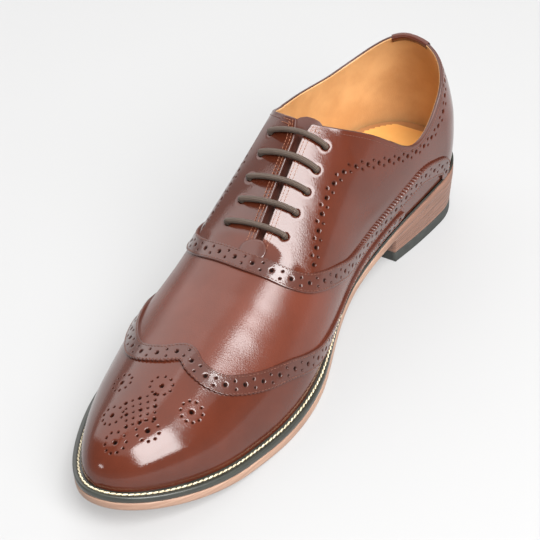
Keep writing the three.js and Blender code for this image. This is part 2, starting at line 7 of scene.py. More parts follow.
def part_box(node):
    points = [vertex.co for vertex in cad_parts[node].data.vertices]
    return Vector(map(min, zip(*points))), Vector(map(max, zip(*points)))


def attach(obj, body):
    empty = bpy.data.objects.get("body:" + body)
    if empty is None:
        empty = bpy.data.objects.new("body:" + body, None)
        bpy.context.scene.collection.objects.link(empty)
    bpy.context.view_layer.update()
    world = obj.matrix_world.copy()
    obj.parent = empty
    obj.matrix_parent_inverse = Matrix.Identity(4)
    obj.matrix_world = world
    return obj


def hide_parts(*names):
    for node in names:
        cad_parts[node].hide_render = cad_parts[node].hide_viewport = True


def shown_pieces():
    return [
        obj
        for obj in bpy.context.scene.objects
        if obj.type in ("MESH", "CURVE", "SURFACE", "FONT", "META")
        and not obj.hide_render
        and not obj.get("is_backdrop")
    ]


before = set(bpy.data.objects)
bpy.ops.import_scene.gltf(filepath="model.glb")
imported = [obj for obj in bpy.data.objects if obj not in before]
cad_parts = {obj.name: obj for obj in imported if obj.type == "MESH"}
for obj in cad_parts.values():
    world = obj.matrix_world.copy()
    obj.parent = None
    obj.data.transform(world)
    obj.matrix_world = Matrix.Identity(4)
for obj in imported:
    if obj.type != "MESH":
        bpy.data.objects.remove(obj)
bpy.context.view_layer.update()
mm = 0.001

# Shape of the last in mm, x from the back of the heel, one value for every tenth of the length.
# It is the surface that the frame's upper was cut from, so everything here lies on the same leather.
last = {
    "length": 302, "ballWidth": 106, "heelHeight": 25, "toeSpring": 15, "sole": 4.5, "welt": 3.5, "weltMargin": 4,
    "treadFlat": 0.6, "instep": 111, "back": 96, "slot": 5, "backLean": 10, "backBulge": 4,
    "heelRound": 36, "toeRound": 58, "toeDrop": 34, "gap": 0.3, "throat": 0.39, "slotEnd": 0.585,
    "facingRound": 0.08, "facingRoundFade": 0.03,
    "outer": [0.28, 0.317, 0.335, 0.345, 0.355, 0.425, 0.49, 0.5, 0.42, 0.33, 0.26],
    "inner": [0.335, 0.335, 0.315, 0.265, 0.243, 0.32, 0.44, 0.47, 0.425, 0.38, 0.33],
    "tread": [1, 0.98, 0.88, 0.63, 0.33, 0.1, 0, 0, 0.14, 0.5, 1],
    "margin": [0.3, 0.3, 0.3, 0.3, 0.3, 0.6, 1, 1, 1, 1, 1],
    "rim": [0.6, 0.6, 0.65, 0.75, 0.9, 1, 1, 1, 1, 1, 1],
    "ridge": [1.25, 1.24, 1.25, 1.08, 0.922, 0.742, 0.59, 0.495, 0.42, 0.375, 0.365],
    "lean": [0, 0, -0.01, -0.01, 0, 0.02, 0.07, 0.068, 0.045, 0.03, 0.025],
    "outerSide": [0.45, 0.45, 0.51, 0.46, 0.42, 0.42, 0.45, 0.49, 0.53, 0.58, 0.6],
    "outerTop": [0.55, 0.58, 0.75, 0.84, 0.93, 0.9, 0.68, 0.54, 0.53, 0.58, 0.6],
    "outerSwell": [0.04, 0.12, 0.21, 0.2, 0.1, 0.05, 0.05, 0.06, 0.04, 0.03, 0.03],
    "innerSide": [0.45, 0.45, 0.47, 0.46, 0.46, 0.46, 0.48, 0.5, 0.54, 0.58, 0.6],
    "innerTop": [0.55, 0.6, 0.8, 0.9, 1.02, 0.98, 0.74, 0.52, 0.525, 0.58, 0.6],
    "innerSwell": [0.08, 0.12, 0.3, 0.6, 0.72, 0.42, 0.12, 0.04, 0.03, 0.03, 0.03],
    "toplineInner": [0.98, 0.93, 0.77, 0.68, 0.95],
    "toplineOuter": [0.98, 0.8, 0.805, 0.85, 0.89],
}
length = last["length"]


def spline(values, s):
    values = np.asarray(values, float)
    n = len(values) - 1
    p = np.concatenate([[2 * values[0] - values[1]], values, [2 * values[-1] - values[-2]]])
    place = np.clip(s, 0, 1) * n
    i = np.minimum(place.astype(int), n - 1)
    f = place - i
    return ((1 - f) ** 3 * p[i] + (3 * f ** 3 - 6 * f ** 2 + 4) * p[i + 1]
            + (-3 * f ** 3 + 3 * f ** 2 + 3 * f + 1) * p[i + 2] + f ** 3 * p[i + 3]) / 6


def column(name, s):
    return spline(last[name], np.asarray(s, float))


def sided(name, s, inner):
    return np.where(inner, column("inner" + name, s), column("outer" + name, s))


def roundOff(distance, radius, power=2.0):
    q = np.clip(1 - distance / radius, 0, 1)
    return (1 - q ** power) ** (1 / power)


def smooth(x, low, high):
    q = np.clip((x - low) / (high - low), 0, 1)
    return q * q * (3 - 2 * q)


def endRound(s):
    return roundOff(s * length, last["heelRound"]) * roundOff((1 - s) * length, last["toeRound"], 2.1)


def outline(s, side, follow, extra=0.0):
    s = np.asarray(s, float)
    inset = follow * last["weltMargin"] * column("margin", s) + extra
    insetEnds = [follow * last["weltMargin"] * last["margin"][k] + extra for k in (0, -1)]
    half = np.where(np.asarray(side) > 0, column("inner", s), column("outer", s)) * last["ballWidth"] - inset
    return insetEnds[0] + s * (length - insetEnds[1] - insetEnds[0]), side * half * endRound(s)


def treadAt(x):
    share = x / length
    rise = np.where(share < 0.65, last["heelHeight"], last["toeSpring"])
    return np.maximum(0, column("tread", share) * rise - last["treadFlat"])


def soleTopAt(x):
    return treadAt(x) + last["sole"]


def weltTopAt(x):
    return soleTopAt(x) + column("rim", x / length) * last["welt"]


def lastPoint(s, v):
    s, v = np.broadcast_arrays(np.asarray(s, float), np.asarray(v, float))
    inner = v >= 0
    side = np.where(inner, 1, -1)
    q = np.abs(v)
    t = 1 - q
    x, edgeY = outline(s, side, 1)
    low = weltTopAt(x) + last["gap"]
    high = low + (column("ridge", s) * last["instep"] - low) * roundOff((1 - s) * length, last["toeDrop"], 2.3)
    ridgeY = column("lean", s) * last["ballWidth"] * endRound(s)
    across = q ** 3 + 3 * q * q * t * (1 + sided("Swell", s, inner)) + 3 * q * t * t * sided("Top", s, inner)
    up = 3 * q * q * t * sided("Side", s, inner) + 3 * q * t * t + t ** 3
    z = low + (high - low) * up
    rise = np.clip((z - low) / (last["back"] - low), 0, 1.3)
    fade = np.clip(1 - s / last["throat"], 0, 1) ** 2
    shift = last["backLean"] * rise ** 2 - last["backBulge"] * np.sin(np.pi * np.clip(rise, 0, 1))
    return np.stack([x + fade * shift, ridgeY + (edgeY - ridgeY) * across, z], -1)


def unit(a):
    return a / np.maximum(np.linalg.norm(a, axis=-1, keepdims=True), 1e-12)


def metric(s, v):
    step = 1e-3
    s = np.clip(s, step, 1 - 2 * step)
    v = np.clip(v, -1 + step, 1 - step)
    alongS = (lastPoint(s + step, v) - lastPoint(s - step, v)) / (2 * step)
    alongV = (lastPoint(s, v + step) - lastPoint(s, v - step)) / (2 * step)
    return alongS, alongV


def lastNormal(s, v):
    s, v = np.broadcast_arrays(np.asarray(s, float), np.asarray(v, float))
    alongS, alongV = metric(s, v)
    normal = unit(np.cross(alongS, alongV))
    w = np.clip(np.abs(v), 1e-3, 1 - 1e-3)
    up = lastPoint(0 * s, w - 1e-3) - lastPoint(0 * s, w + 1e-3)
    profile = unit(np.stack([-up[..., 2], 0 * s, up[..., 0]], -1))
    normal = np.where((s <= 0)[..., None], profile, normal)
    return np.where((s >= 1)[..., None], np.array([1.0, 0, 0]), normal)


def skin(s, v, off=0.0):
    off = np.asarray(off, float)
    return lastPoint(s, v) + lastNormal(s, v) * off[..., None]


# Directions in the leather's tangent plane: along the shoe and square to that
def tangents(s, v):
    alongS, alongV = metric(s, v)
    e1 = unit(alongS)
    return e1, unit(np.cross(unit(np.cross(alongS, alongV)), e1))


# Moves (s, v) along the leather by mm in those two directions
def moveOn(s, v, direction, sideways):
    alongS, alongV = metric(s, v)
    e1, e2 = tangents(s, v)
    target = e1 * np.asarray(direction)[..., None] + e2 * np.asarray(sideways)[..., None]
    a, b, c = (alongS * alongS).sum(-1), (alongS * alongV).sum(-1), (alongV * alongV).sum(-1)
    p, q = (alongS * target).sum(-1), (alongV * target).sum(-1)
    det = a * c - b * b
    return s + (p * c - q * b) / det, v + (q * a - p * b) / det


# Where a test between 0 and 1 turns true
def bisect(test, shape):
    low, high = np.zeros(shape), np.ones(shape)
    for _ in range(30):
        mid = (low + high) / 2
        yes = test(mid)
        high = np.where(yes, mid, high)
        low = np.where(yes, low, mid)
    return (low + high) / 2


def toplineAt(s, side):
    name = "toplineInner" if side > 0 else "toplineOuter"
    heights = [h * last["back"] for h in last[name]] + [float(lastPoint(last["throat"], 0)[2])]
    return spline(heights, np.asarray(s, float) / last["throat"])


# How far up the wall the topline or the lace slot cuts it, as |v|
def openEdge(s, side):
    s = np.asarray(s, float)
    goal = toplineAt(s, side)
    collar = np.where(s < last["throat"], bisect(lambda q: lastPoint(s, side * q)[..., 2] < goal, s.shape), 0)
    ridgeY = lastPoint(s, 0 * s)[..., 1]
    slot = bisect(lambda q: abs(lastPoint(s, side * q)[..., 1] - ridgeY) > last["slot"] / 2, s.shape)
    corner = last["facingRound"] * np.clip(1 - (s - last["throat"]) / last["facingRoundFade"], 0, 1)
    edge = np.where(s < 0.29, collar, (collar + slot + np.hypot(collar - slot, corner)) / 2)
    return np.where(s <= last["slotEnd"] + 1e-9, edge, 0)


# Soft troughs and ridges: (s, v) of both ends, width in mm, height in mm
creases = [
    {"from": (0.415, 0.0), "to": (0.585, 0.0), "width": 26.0, "height": -1.3, "even": True},
    {"from": (0.36, 0.70), "to": (0.44, 0.52), "width": 9.0, "height": -0.35},
    {"from": (0.30, 0.78), "to": (0.42, 0.66), "width": 7.0, "height": 0.25},
    {"from": (0.37, -0.70), "to": (0.44, -0.52), "width": 9.0, "height": -0.35},
    {"from": (0.655, 0.36), "to": (0.665, -0.30), "width": 9.0, "height": -0.18},
    {"from": (0.70, 0.42), "to": (0.705, 0.1), "width": 8.0, "height": 0.12},
    {"from": (0.10, 0.45), "to": (0.20, 0.62), "width": 12.0, "height": -0.35},
    {"from": (0.10, -0.45), "to": (0.20, -0.62), "width": 12.0, "height": -0.35},
    {"from": (0.05, 0.80), "to": (0.14, 0.78), "width": 12.0, "height": 0.2},
]


def creaseLift(points):
    shape = points.shape[:-1]
    flat = points.reshape(-1, 3)
    lift = np.zeros(len(flat))
    for crease in creases:
        ends = np.array([crease["from"], crease["to"]])
        between = ends[0] + (ends[1] - ends[0]) * np.linspace(0, 1, 24)[:, None]
        line = lastPoint(between[:, 0], between[:, 1])
        fade = np.sin(np.linspace(0, math.pi, 24)) ** (0.3 if crease.get("even") else 0.8)
        reach = crease["width"] * 1.6
        near = np.nonzero(((flat > line.min(0) - reach) & (flat < line.max(0) + reach)).all(1))[0]
        for k in range(0, len(near), 8000):
            part = near[k:k + 8000]
            d2 = ((flat[part][:, None] - line) ** 2).sum(-1)
            lift[part] += crease["height"] * (np.exp(-d2 / (crease["width"] / 2) ** 2) * fade).max(-1)
    return lift.reshape(shape)


# Outside of the leather, creases and all, off mm out
def leatherAt(s, v, off=0.0):
    base = lastPoint(s, v)
    return base + lastNormal(s, v) * (creaseLift(base) + off)[..., None]


# The frame's own place for the back end of the sole and its middle line
soleLow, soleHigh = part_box("outsole")
fine = np.linspace(0, 1, 2001)
placeX = soleLow[0] / mm
placeY = (soleHigh[1] / mm + soleLow[1] / mm) / 2 - (outline(fine, 1, 0)[1].max() + outline(fine, -1, 0)[1].min()) / 2


# One mesh from points in mm and quads or triangles
def meshObject(name, points, faces, material, body="root", smooth=True, values=None):
    points = np.asarray(points, float).reshape(-1, 3) + [placeX, placeY, 0]
    faces = np.asarray(faces, np.int32)
    sides = faces.shape[1]
    mesh = bpy.data.meshes.new(name)
    mesh.vertices.add(len(points))
    mesh.vertices.foreach_set("co", (points * mm).astype(np.float32).ravel())
    mesh.loops.add(faces.size)
    mesh.loops.foreach_set("vertex_index", faces.ravel())
    mesh.polygons.add(len(faces))
    mesh.polygons.foreach_set("loop_start", np.arange(0, faces.size, sides, dtype=np.int32))
    mesh.polygons.foreach_set("use_smooth", np.full(len(faces), smooth))
    mesh.update(calc_edges=True)
    for key, data in (values or {}).items():
        layer = mesh.attributes.new(key, "FLOAT", "POINT")
        layer.data.foreach_set("value", np.asarray(data, np.float32).ravel())
    mesh.validate()
    obj = bpy.data.objects.new(name, mesh)
    bpy.context.collection.objects.link(obj)
    if material:
        mesh.materials.append(material)
    if body:
        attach(obj, body)
    return obj


# Quads of a grid of points, flip turns them over
def gridFaces(rows, cols, closeRows=False, closeCols=False, flip=False):
    i = np.arange(rows if closeRows else rows - 1)[:, None]
    j = np.arange(cols if closeCols else cols - 1)[None, :]
    i2, j2 = (i + 1) % rows, (j + 1) % cols
    corners = np.broadcast_arrays(i * cols + j, i * cols + j2, i2 * cols + j2, i2 * cols + j)
    quads = np.stack(corners, -1).reshape(-1, 4)
    return quads[:, ::-1] if flip else quads


# Blends the mesh's own normals with wanted ones, share 1 being all wanted
def softNormals(obj, wanted, share):
    own = np.empty(len(obj.data.vertices) * 3, np.float32)
    obj.data.vertex_normals.foreach_get("vector", own)
    own = own.reshape(-1, 3)
    mixed = unit(own * (1 - share[:, None]) + wanted.reshape(-1, 3) * share[:, None])
    obj.data.normals_split_custom_set_from_vertices(mixed.tolist())


# Centripetal curve through the rows of a table
def throughPoints(table, count):
    p = np.asarray(table, float)
    p = np.concatenate([[2 * p[0] - p[1]], p, [2 * p[-1] - p[-2]]])
    u = np.linspace(0, len(table) - 1, count)
    k = np.minimum(u.astype(int), len(table) - 2)
    w = (u - k)[:, None]
    a, b, c, d = p[k], p[k + 1], p[k + 2], p[k + 3]
    t0, t1, t2 = [np.sqrt(np.linalg.norm(y - x, axis=1))[:, None] for x, y in ((a, b), (b, c), (c, d))]
    m1 = ((b - a) / t0 - (c - a) / (t0 + t1) + (c - b) / t1) * t1
    m2 = ((c - b) / t1 - (d - b) / (t1 + t2) + (d - c) / t2) * t1
    return b + m1 * w + (3 * (c - b) - 2 * m1 - m2) * w ** 2 + (2 * (b - c) + m1 + m2) * w ** 3


def runAlong(path):
    return np.concatenate([[0], np.cumsum(np.linalg.norm(np.diff(path, axis=0), axis=1))])


# Indices as floats of points evenly spaced along a path in mm
def evenly(path, spacing, start=0.5):
    run = runAlong(path)
    count = max(2, int(round((run[-1] - 2 * start * spacing) / spacing)) + 1)
    places = np.linspace(start * spacing, run[-1] - start * spacing, count)
    return np.interp(places, run, np.arange(len(path)))


def sample(rows, index):
    low = np.floor(index).astype(int)
    high = np.minimum(low + 1, len(rows) - 1)
    return rows[low] + (rows[high] - rows[low]) * (index - low)[:, None]


def heading(path, places):
    return unit(sample(path, np.minimum(places + 0.5, len(path) - 1)) - sample(path, np.maximum(places - 0.5, 0)))


# Punched holes: shares of the radius that they reach and roll over, shares of a cell, mm that the rim sinks, and the
# painted shade on the rim
punched = {"reach": 2.2, "snap": 0.55, "roll": 0.8, "sink": 0.16, "rimShade": 0.35, "own": 2.1}


# Sinks round holes into dense points. Returns the points, how much painted shade each one gets (full inside a hole,
# part on its rim), and how near to a hole, 0 to 1
def punch(points, normals, holes, cell):
    points = points.copy()
    deep = np.zeros(len(points))
    near = np.zeros(len(points))
    for centre, radius, depth in holes:
        gap = np.abs(points - centre).max(1)
        index = np.nonzero(gap < radius * punched["reach"] + cell)[0]
        if not len(index):
            continue
        away = points[index] - centre
        normal = normals[index[np.argmin((away ** 2).sum(1))]]
        flat = away - (away @ normal)[:, None] * normal
        dist = np.linalg.norm(flat, axis=1)
        ring = np.abs(dist - radius) < cell * punched["snap"]
        inside = dist <= radius - cell * punched["snap"]
        points[index[ring]] += (flat * ((radius - dist) / np.maximum(dist, 1e-6))[:, None])[ring]
        rim = np.clip(1 - (dist - radius) / (radius * punched["roll"]), 0, 1) * ~inside
        points[index] -= normal * (rim ** 2 * punched["sink"])[:, None]
        points[index[inside]] -= normal * depth
        near[index] = np.maximum(near[index], np.clip(punched["own"] - dist / radius, 0, 1))
        # Painted shade: full inside each hole and a share of it on the rim ring
        deep[index] = np.maximum(deep[index], np.where(inside, 1, np.where(ring, punched["rimShade"], 0)))
    return points, deep, near


# A row of thread stitches along a path in mm
def stitches(name, path, normals, material, size):
    places = evenly(path, size["pitch"])
    centre, normal = sample(path, places), unit(sample(normals, places))
    ahead = heading(path, places)
    side = np.cross(normal, ahead)
    rings, spokes = 6, 6
    along = np.cos(np.linspace(math.pi, 0, rings)) * size["long"] / 2
    swell = np.sqrt(np.maximum(0, 1 - (along / (size["long"] / 2)) ** 2)) ** 0.6
    angle = np.arange(spokes) * 2 * math.pi / spokes
    lift = size["lift"] - size["thick"] * 0.7 * (1 - swell)
    thick = (size["thick"] * swell)[:, None]
    across = along[:, None] * size.get("slant", 0.0) + thick * np.cos(angle)
    off = lift[:, None] + thick * np.sin(angle)
    points = (centre[:, None, None] + ahead[:, None, None] * along[None, :, None, None]
              + side[:, None, None] * across[None, ..., None] + normal[:, None, None] * off[None, ..., None])
    one = gridFaces(rings, spokes, closeCols=True)
    faces = (one[None] + (np.arange(len(places)) * rings * spokes)[:, None, None]).reshape(-1, 4)
    tone = np.repeat(np.random.default_rng(4).random(len(places)), rings * spokes)
    return meshObject(name, points, faces, material, values={"tone": tone})


# Cord along a path in mm, flattened against the leather
def tube(name, path, radius, material, flatten=1.0, spokes=14):
    ahead = unit(np.gradient(path, axis=0))
    normal = np.array([0, 0, 1.0])
    frames = []
    for tangent in ahead:
        normal = unit(normal - tangent * (normal @ tangent))
        frames.append(normal)
    normal = np.array(frames)
    other = np.cross(ahead, normal)
    angle = np.arange(spokes) * 2 * math.pi / spokes
    points = (path[:, None] + normal[:, None] * (np.cos(angle) * radius)[:, None] * flatten
              + other[:, None] * (np.sin(angle) * radius)[:, None])
    values = {"run": np.repeat(runAlong(path), spokes), "turn": np.tile(angle / (2 * math.pi), len(path))}
    faces = gridFaces(len(path), spokes, closeCols=True, flip=True)
    return meshObject(name, points, faces, material, values=values)


print("materials")


# Shader node group with its sockets given as (name, type, default)
def group(name, inputs, outputs):
    tree = bpy.data.node_groups.new(name, "ShaderNodeTree")
    for kind, entries in (("INPUT", inputs), ("OUTPUT", outputs)):
        for label, socket, default in entries:
            item = tree.interface.new_socket(name=label, in_out=kind, socket_type=socket)
            if default is not None:
                item.default_value = default
    return tree, tree.nodes.new("NodeGroupInput"), tree.nodes.new("NodeGroupOutput")


# Node with its inputs by name, or by number as i0, i1 and so on
def node(tree, kind, settings=None, **inputs):
    made = tree.nodes.new(kind)
    for key, value in (settings or {}).items():
        setattr(made, key, value)
    for key, value in inputs.items():
        numbered = key[0] == "i" and key[1:].isdigit()
        socket = made.inputs[int(key[1:]) if numbered else key]
        if isinstance(value, bpy.types.NodeSocket):
            tree.links.new(value, socket)
        else:
            socket.default_value = value
    return made


def mathNode(tree, operation, a, b=0.0, clamp=False):
    return node(tree, "ShaderNodeMath", {"operation": operation, "use_clamp": clamp}, i0=a, i1=b).outputs[0]


def ramp(tree, fac, low, high, start=0.0, end=1.0):
    settings = {"interpolation_type": "SMOOTHSTEP"}
    return node(tree, "ShaderNodeMapRange", settings, i0=fac, i1=low, i2=high, i3=start, i4=end).outputs[0]


def leatherGrain():
    outputs = [(label, "NodeSocketFloat", None) for label in ("Height", "Mottle", "Waves")]
    tree, start, end = group("leatherGrain", [("Scale", "NodeSocketFloat", 1.0)], outputs)
    where = tree.nodes.new("ShaderNodeTexCoord").outputs["Object"]
    size = mathNode(tree, "MULTIPLY", start.outputs["Scale"], 900.0)
    warp = node(tree, "ShaderNodeTexNoise", Vector=where, Scale=140.0, Detail=2.0)
    moved = node(tree, "ShaderNodeVectorMath", {"operation": "MULTIPLY_ADD"},
                 i0=warp.outputs["Color"], i1=(0.003,) * 3, i2=where)
    cells = node(tree, "ShaderNodeTexVoronoi", {"feature": "DISTANCE_TO_EDGE"}, Vector=moved.outputs[0], Scale=size)
    pebble = ramp(tree, cells.outputs["Distance"], 0.0, 0.35)
    pores = node(tree, "ShaderNodeTexNoise", Vector=where, Scale=2600.0, Detail=3.0)
    height = mathNode(tree, "ADD", pebble, mathNode(tree, "MULTIPLY", pores.outputs["Fac"], 0.5))
    mottle = node(tree, "ShaderNodeTexNoise", Vector=where, Scale=34.0, Detail=4.0, Roughness=0.6)
    waves = node(tree, "ShaderNodeTexNoise", Vector=where, Scale=62.0, Detail=1.5)
    tree.links.new(waves.outputs["Fac"], end.inputs["Waves"])
    tree.links.new(height, end.inputs["Height"])
    tree.links.new(mottle.outputs["Fac"], end.inputs["Mottle"])
    return tree


def fibreStreaks():
    tree, start, end = group("fibreStreaks", [("Along", "NodeSocketFloat", 20.0), ("Up", "NodeSocketFloat", 900.0)],
                             [("Streak", "NodeSocketFloat", None)])
    where = tree.nodes.new("ShaderNodeTexCoord").outputs["Object"]
    along, up = start.outputs["Along"], start.outputs["Up"]
    scale = node(tree, "ShaderNodeCombineXYZ", X=along, Y=along, Z=up)
    stretched = node(tree, "ShaderNodeVectorMath", {"operation": "MULTIPLY"}, i0=where, i1=scale.outputs[0])
    noise = node(tree, "ShaderNodeTexNoise", Vector=stretched.outputs[0], Scale=1.0, Detail=5.0, Roughness=0.65)
    tree.links.new(noise.outputs["Fac"], end.inputs["Streak"])
    return tree


grainGroup = leatherGrain()
streakGroup = fibreStreaks()


def newMaterial(name):
    material = bpy.data.materials.new(name)
    material.use_nodes = True
    return material, material.node_tree, material.node_tree.nodes["Principled BSDF"]


def useGroup(tree, shared, **inputs):
    made = tree.nodes.new("ShaderNodeGroup")
    made.node_tree = shared
    for key, value in inputs.items():
        made.inputs[key].default_value = value
    return made


# Linear colour from the three numbers of a colour picker
def srgb(*color):
    linear = [c / 255 / 12.92 if c / 255 <= 0.04045 else ((c / 255 + 0.055) / 1.055) ** 2.4 for c in color]
    return tuple(linear) + (1.0,)


def mixColor(tree, fac, a, b):
    mix = tree.nodes.new("ShaderNodeMix")
    mix.data_type = "RGBA"
    for socket, value in ((mix.inputs[0], fac), (mix.inputs[6], a), (mix.inputs[7], b)):
        if isinstance(value, bpy.types.NodeSocket):
            tree.links.new(value, socket)
        else:
            socket.default_value = value
    return mix.outputs[2]


def attribute(tree, name):
    return node(tree, "ShaderNodeAttribute", {"attribute_name": name}).outputs["Fac"]


# Finished leather: grain in the bump, mottled dye, and painted shade that darkens the punched holes and their rims
def leather(name, look):
    material, tree, shader = newMaterial(name)
    grain = useGroup(tree, grainGroup, Scale=look.get("scale", 1.0))
    mottle = ramp(tree, grain.outputs["Mottle"], 0.3, 0.7)
    dyed = mixColor(tree, mottle, srgb(*look["deep"]), srgb(*look["base"]))
    rough = mathNode(tree, "ADD", mathNode(tree, "MULTIPLY", mottle, look.get("roughSpread", 0.08)), look["rough"])
    # Painted shade: where the deep attribute is set, inside the holes and on their rims, the dye is mixed towards near
    # black
    if look.get("holes"):
        deep = attribute(tree, "deep")
        dyed = mixColor(tree, deep, dyed, srgb(20, 10, 8))
        rough = mathNode(tree, "ADD", rough, mathNode(tree, "MULTIPLY", deep, 0.6), True)
        gloss = ramp(tree, deep, 0.0, 0.6, look.get("coat", 0.0), 0.0)
        tree.links.new(gloss, shader.inputs["Coat Weight"])
    tree.links.new(dyed, shader.inputs["Base Color"])
    tree.links.new(rough, shader.inputs["Roughness"])
    shader.inputs["Coat Weight"].default_value = look.get("coat", 0.0)
    shader.inputs["Coat IOR"].default_value = look.get("coatIor", 1.5)
    shader.inputs["Coat Roughness"].default_value = look.get("coatRough", 0.15)
    shader.inputs["Specular IOR Level"].default_value = look.get("specular", 0.5)
    slow = node(tree, "ShaderNodeBump", Strength=look.get("waves", 0.5), Distance=0.0005, Height=grain.outputs["Waves"])
    bump = node(tree, "ShaderNodeBump", Strength=look.get("bump", 0.1), Distance=0.0002,
                Height=grain.outputs["Height"], Normal=slow.outputs[0])
    for socket in ("Normal", "Coat Normal"):
        tree.links.new(bump.outputs[0], shader.inputs[socket])
    return material


# Cut leather edge: streaks along it, dyed and burnished
def edged(name, look):
    material, tree, shader = newMaterial(name)
    streak = useGroup(tree, streakGroup, Along=look["along"], Up=look["up"]).outputs["Streak"]
    fac = ramp(tree, streak, 0.3, 0.7)
    dyed = mixColor(tree, fac, srgb(*look["deep"]), srgb(*look["base"]))
    if look.get("heel"):
        darker = mixColor(tree, fac, srgb(*look["heel"][1]), srgb(*look["heel"][0]))
        dyed = mixColor(tree, attribute(tree, "heel"), dyed, darker)
    tree.links.new(dyed, shader.inputs["Base Color"])
    rough = mathNode(tree, "ADD", mathNode(tree, "MULTIPLY", fac, 0.15), look["rough"])
    tree.links.new(rough, shader.inputs["Roughness"])
    shader.inputs["Coat Weight"].default_value = look.get("coat", 0.0)
    shader.inputs["Coat Roughness"].default_value = 0.3
    bump = node(tree, "ShaderNodeBump", Strength=look.get("bump", 0.3), Distance=0.0003, Height=streak)
    tree.links.new(bump.outputs[0], shader.inputs["Normal"])
    return material


def threadMaterial(name, light, dark, rough=0.7):
    material, tree, shader = newMaterial(name)
    where = tree.nodes.new("ShaderNodeTexCoord").outputs["Object"]
    twist = node(tree, "ShaderNodeTexNoise", Vector=where, Scale=2200.0, Detail=2.0)
    tone = mathNode(tree, "MULTIPLY", mathNode(tree, "ADD", twist.outputs["Fac"], attribute(tree, "tone")), 0.5)
    tree.links.new(mixColor(tree, tone, srgb(*dark), srgb(*light)), shader.inputs["Base Color"])
    shader.inputs["Roughness"].default_value = rough
    bump = node(tree, "ShaderNodeBump", Strength=0.4, Distance=0.0002, Height=twist.outputs["Fac"])
    tree.links.new(bump.outputs[0], shader.inputs["Normal"])
    return material


# Waxed braid: two sets of slanting strands from the run and turn stored on the cord
laceLook = {"light": (90, 73, 60), "dark": (54, 42, 34), "perMm": 5.2, "perTurn": 37.7,
            "rough": 0.55, "sheen": 0.06, "bump": 0.55}


def laceMaterial():
    material, tree, shader = newMaterial("waxedLace")
    run, turn = attribute(tree, "run"), attribute(tree, "turn")
    waves = []
    for sign in (1, -1):
        around = mathNode(tree, "MULTIPLY", turn, sign * laceLook["perTurn"])
        phase = mathNode(tree, "ADD", mathNode(tree, "MULTIPLY", run, laceLook["perMm"]), around)
        waves.append(mathNode(tree, "SINE", phase))
    braid = mathNode(tree, "MULTIPLY", waves[0], waves[1])
    fac = ramp(tree, braid, -0.9, 0.9)
    dyed = mixColor(tree, fac, srgb(*laceLook["dark"]), srgb(*laceLook["light"]))
    tree.links.new(dyed, shader.inputs["Base Color"])
    shader.inputs["Roughness"].default_value = laceLook["rough"]
    shader.inputs["Sheen Weight"].default_value = laceLook["sheen"]
    bump = node(tree, "ShaderNodeBump", Strength=laceLook["bump"], Distance=0.0003, Height=braid)
    tree.links.new(bump.outputs[0], shader.inputs["Normal"])
    return material


# In these looks, holes turns on the painted shade of the punched holes
upperLook = {"base": (83, 36, 21), "deep": (74, 32, 19), "rough": 0.4, "roughSpread": 0.05, "coat": 0.95,
             "coatRough": 0.12, "coatIor": 1.55, "specular": 0.0, "bump": 0.05, "waves": 0.25, "holes": True}
vampLook = dict(upperLook, base=(95, 44, 29), deep=(86, 39, 25), rough=0.45, coatRough=0.24, bump=0.1, waves=0.6)
bandLook = {"base": (78, 36, 24), "deep": (66, 30, 20), "rough": 0.4, "coat": 0.9, "coatRough": 0.11, "coatIor": 1.6,
            "specular": 0.12, "bump": 0.07, "holes": True}
edgeLook = {"base": (72, 34, 23), "deep": (56, 26, 18), "rough": 0.42, "coat": 0.3, "bump": 0.1}
tongueLook = {"base": (78, 38, 27), "deep": (62, 30, 21), "rough": 0.45, "coat": 0.25, "bump": 0.12}
liningLook = {"base": (204, 158, 106), "deep": (184, 136, 86), "rough": 0.55, "bump": 0.12, "scale": 0.8}
boardLook = {"base": (176, 128, 82), "deep": (156, 108, 66), "rough": 0.6, "bump": 0.1}
lipLook = {"base": (204, 164, 118), "deep": (186, 142, 96), "rough": 0.5, "bump": 0.08}
sockLook = {"base": (232, 180, 104), "deep": (222, 164, 90), "rough": 0.5, "bump": 0.1}
upperLeather = leather("upperLeather", upperLook)
bandLeather = leather("bandLeather", bandLook)
vampLeather = leather("vampLeather", vampLook)
edgeLeather = leather("edgeLeather", edgeLook)
tongueLeather = leather("tongueLeather", tongueLook)
liningLeather = leather("liningLeather", liningLook)
boardLeather = leather("boardLeather", boardLook)
lipLeather = leather("lipLeather", lipLook)
sockLeather = leather("sockLeather", sockLook)

# Streaks per metre along an edge and up it; the sole's edge is as brown round the heel as the lifts
weltLook = {"base": (46, 48, 40), "deep": (30, 32, 27), "along": 60.0, "up": 500.0, "rough": 0.38, "coat": 0.4}
soleLook = {"base": (168, 136, 116), "deep": (146, 112, 93), "along": 25.0, "up": 900.0, "rough": 0.5, "coat": 0.15,
            "heel": ((134, 97, 80), (104, 73, 59))}
liftLook = {"base": (134, 97, 80), "deep": (104, 73, 59), "along": 22.0, "up": 1100.0, "rough": 0.45, "coat": 0.2}
rubberLook = {"base": (58, 60, 57), "deep": (42, 44, 42), "along": 300.0, "up": 300.0, "rough": 0.7, "bump": 0.2}
weltLeather = edged("weltLeather", weltLook)
soleEdge = edged("soleEdge", soleLook)
heelEdge = edged("heelEdge", liftLook)
topRubber = edged("topRubber", rubberLook)
creamThread = threadMaterial("creamThread", (238, 226, 196), (188, 170, 136))
brownThread = threadMaterial("brownThread", (112, 62, 44), (64, 32, 22), 0.6)
tanThread = threadMaterial("tanThread", (152, 100, 74), (108, 64, 45), 0.6)
lace = laceMaterial()

print("upper")
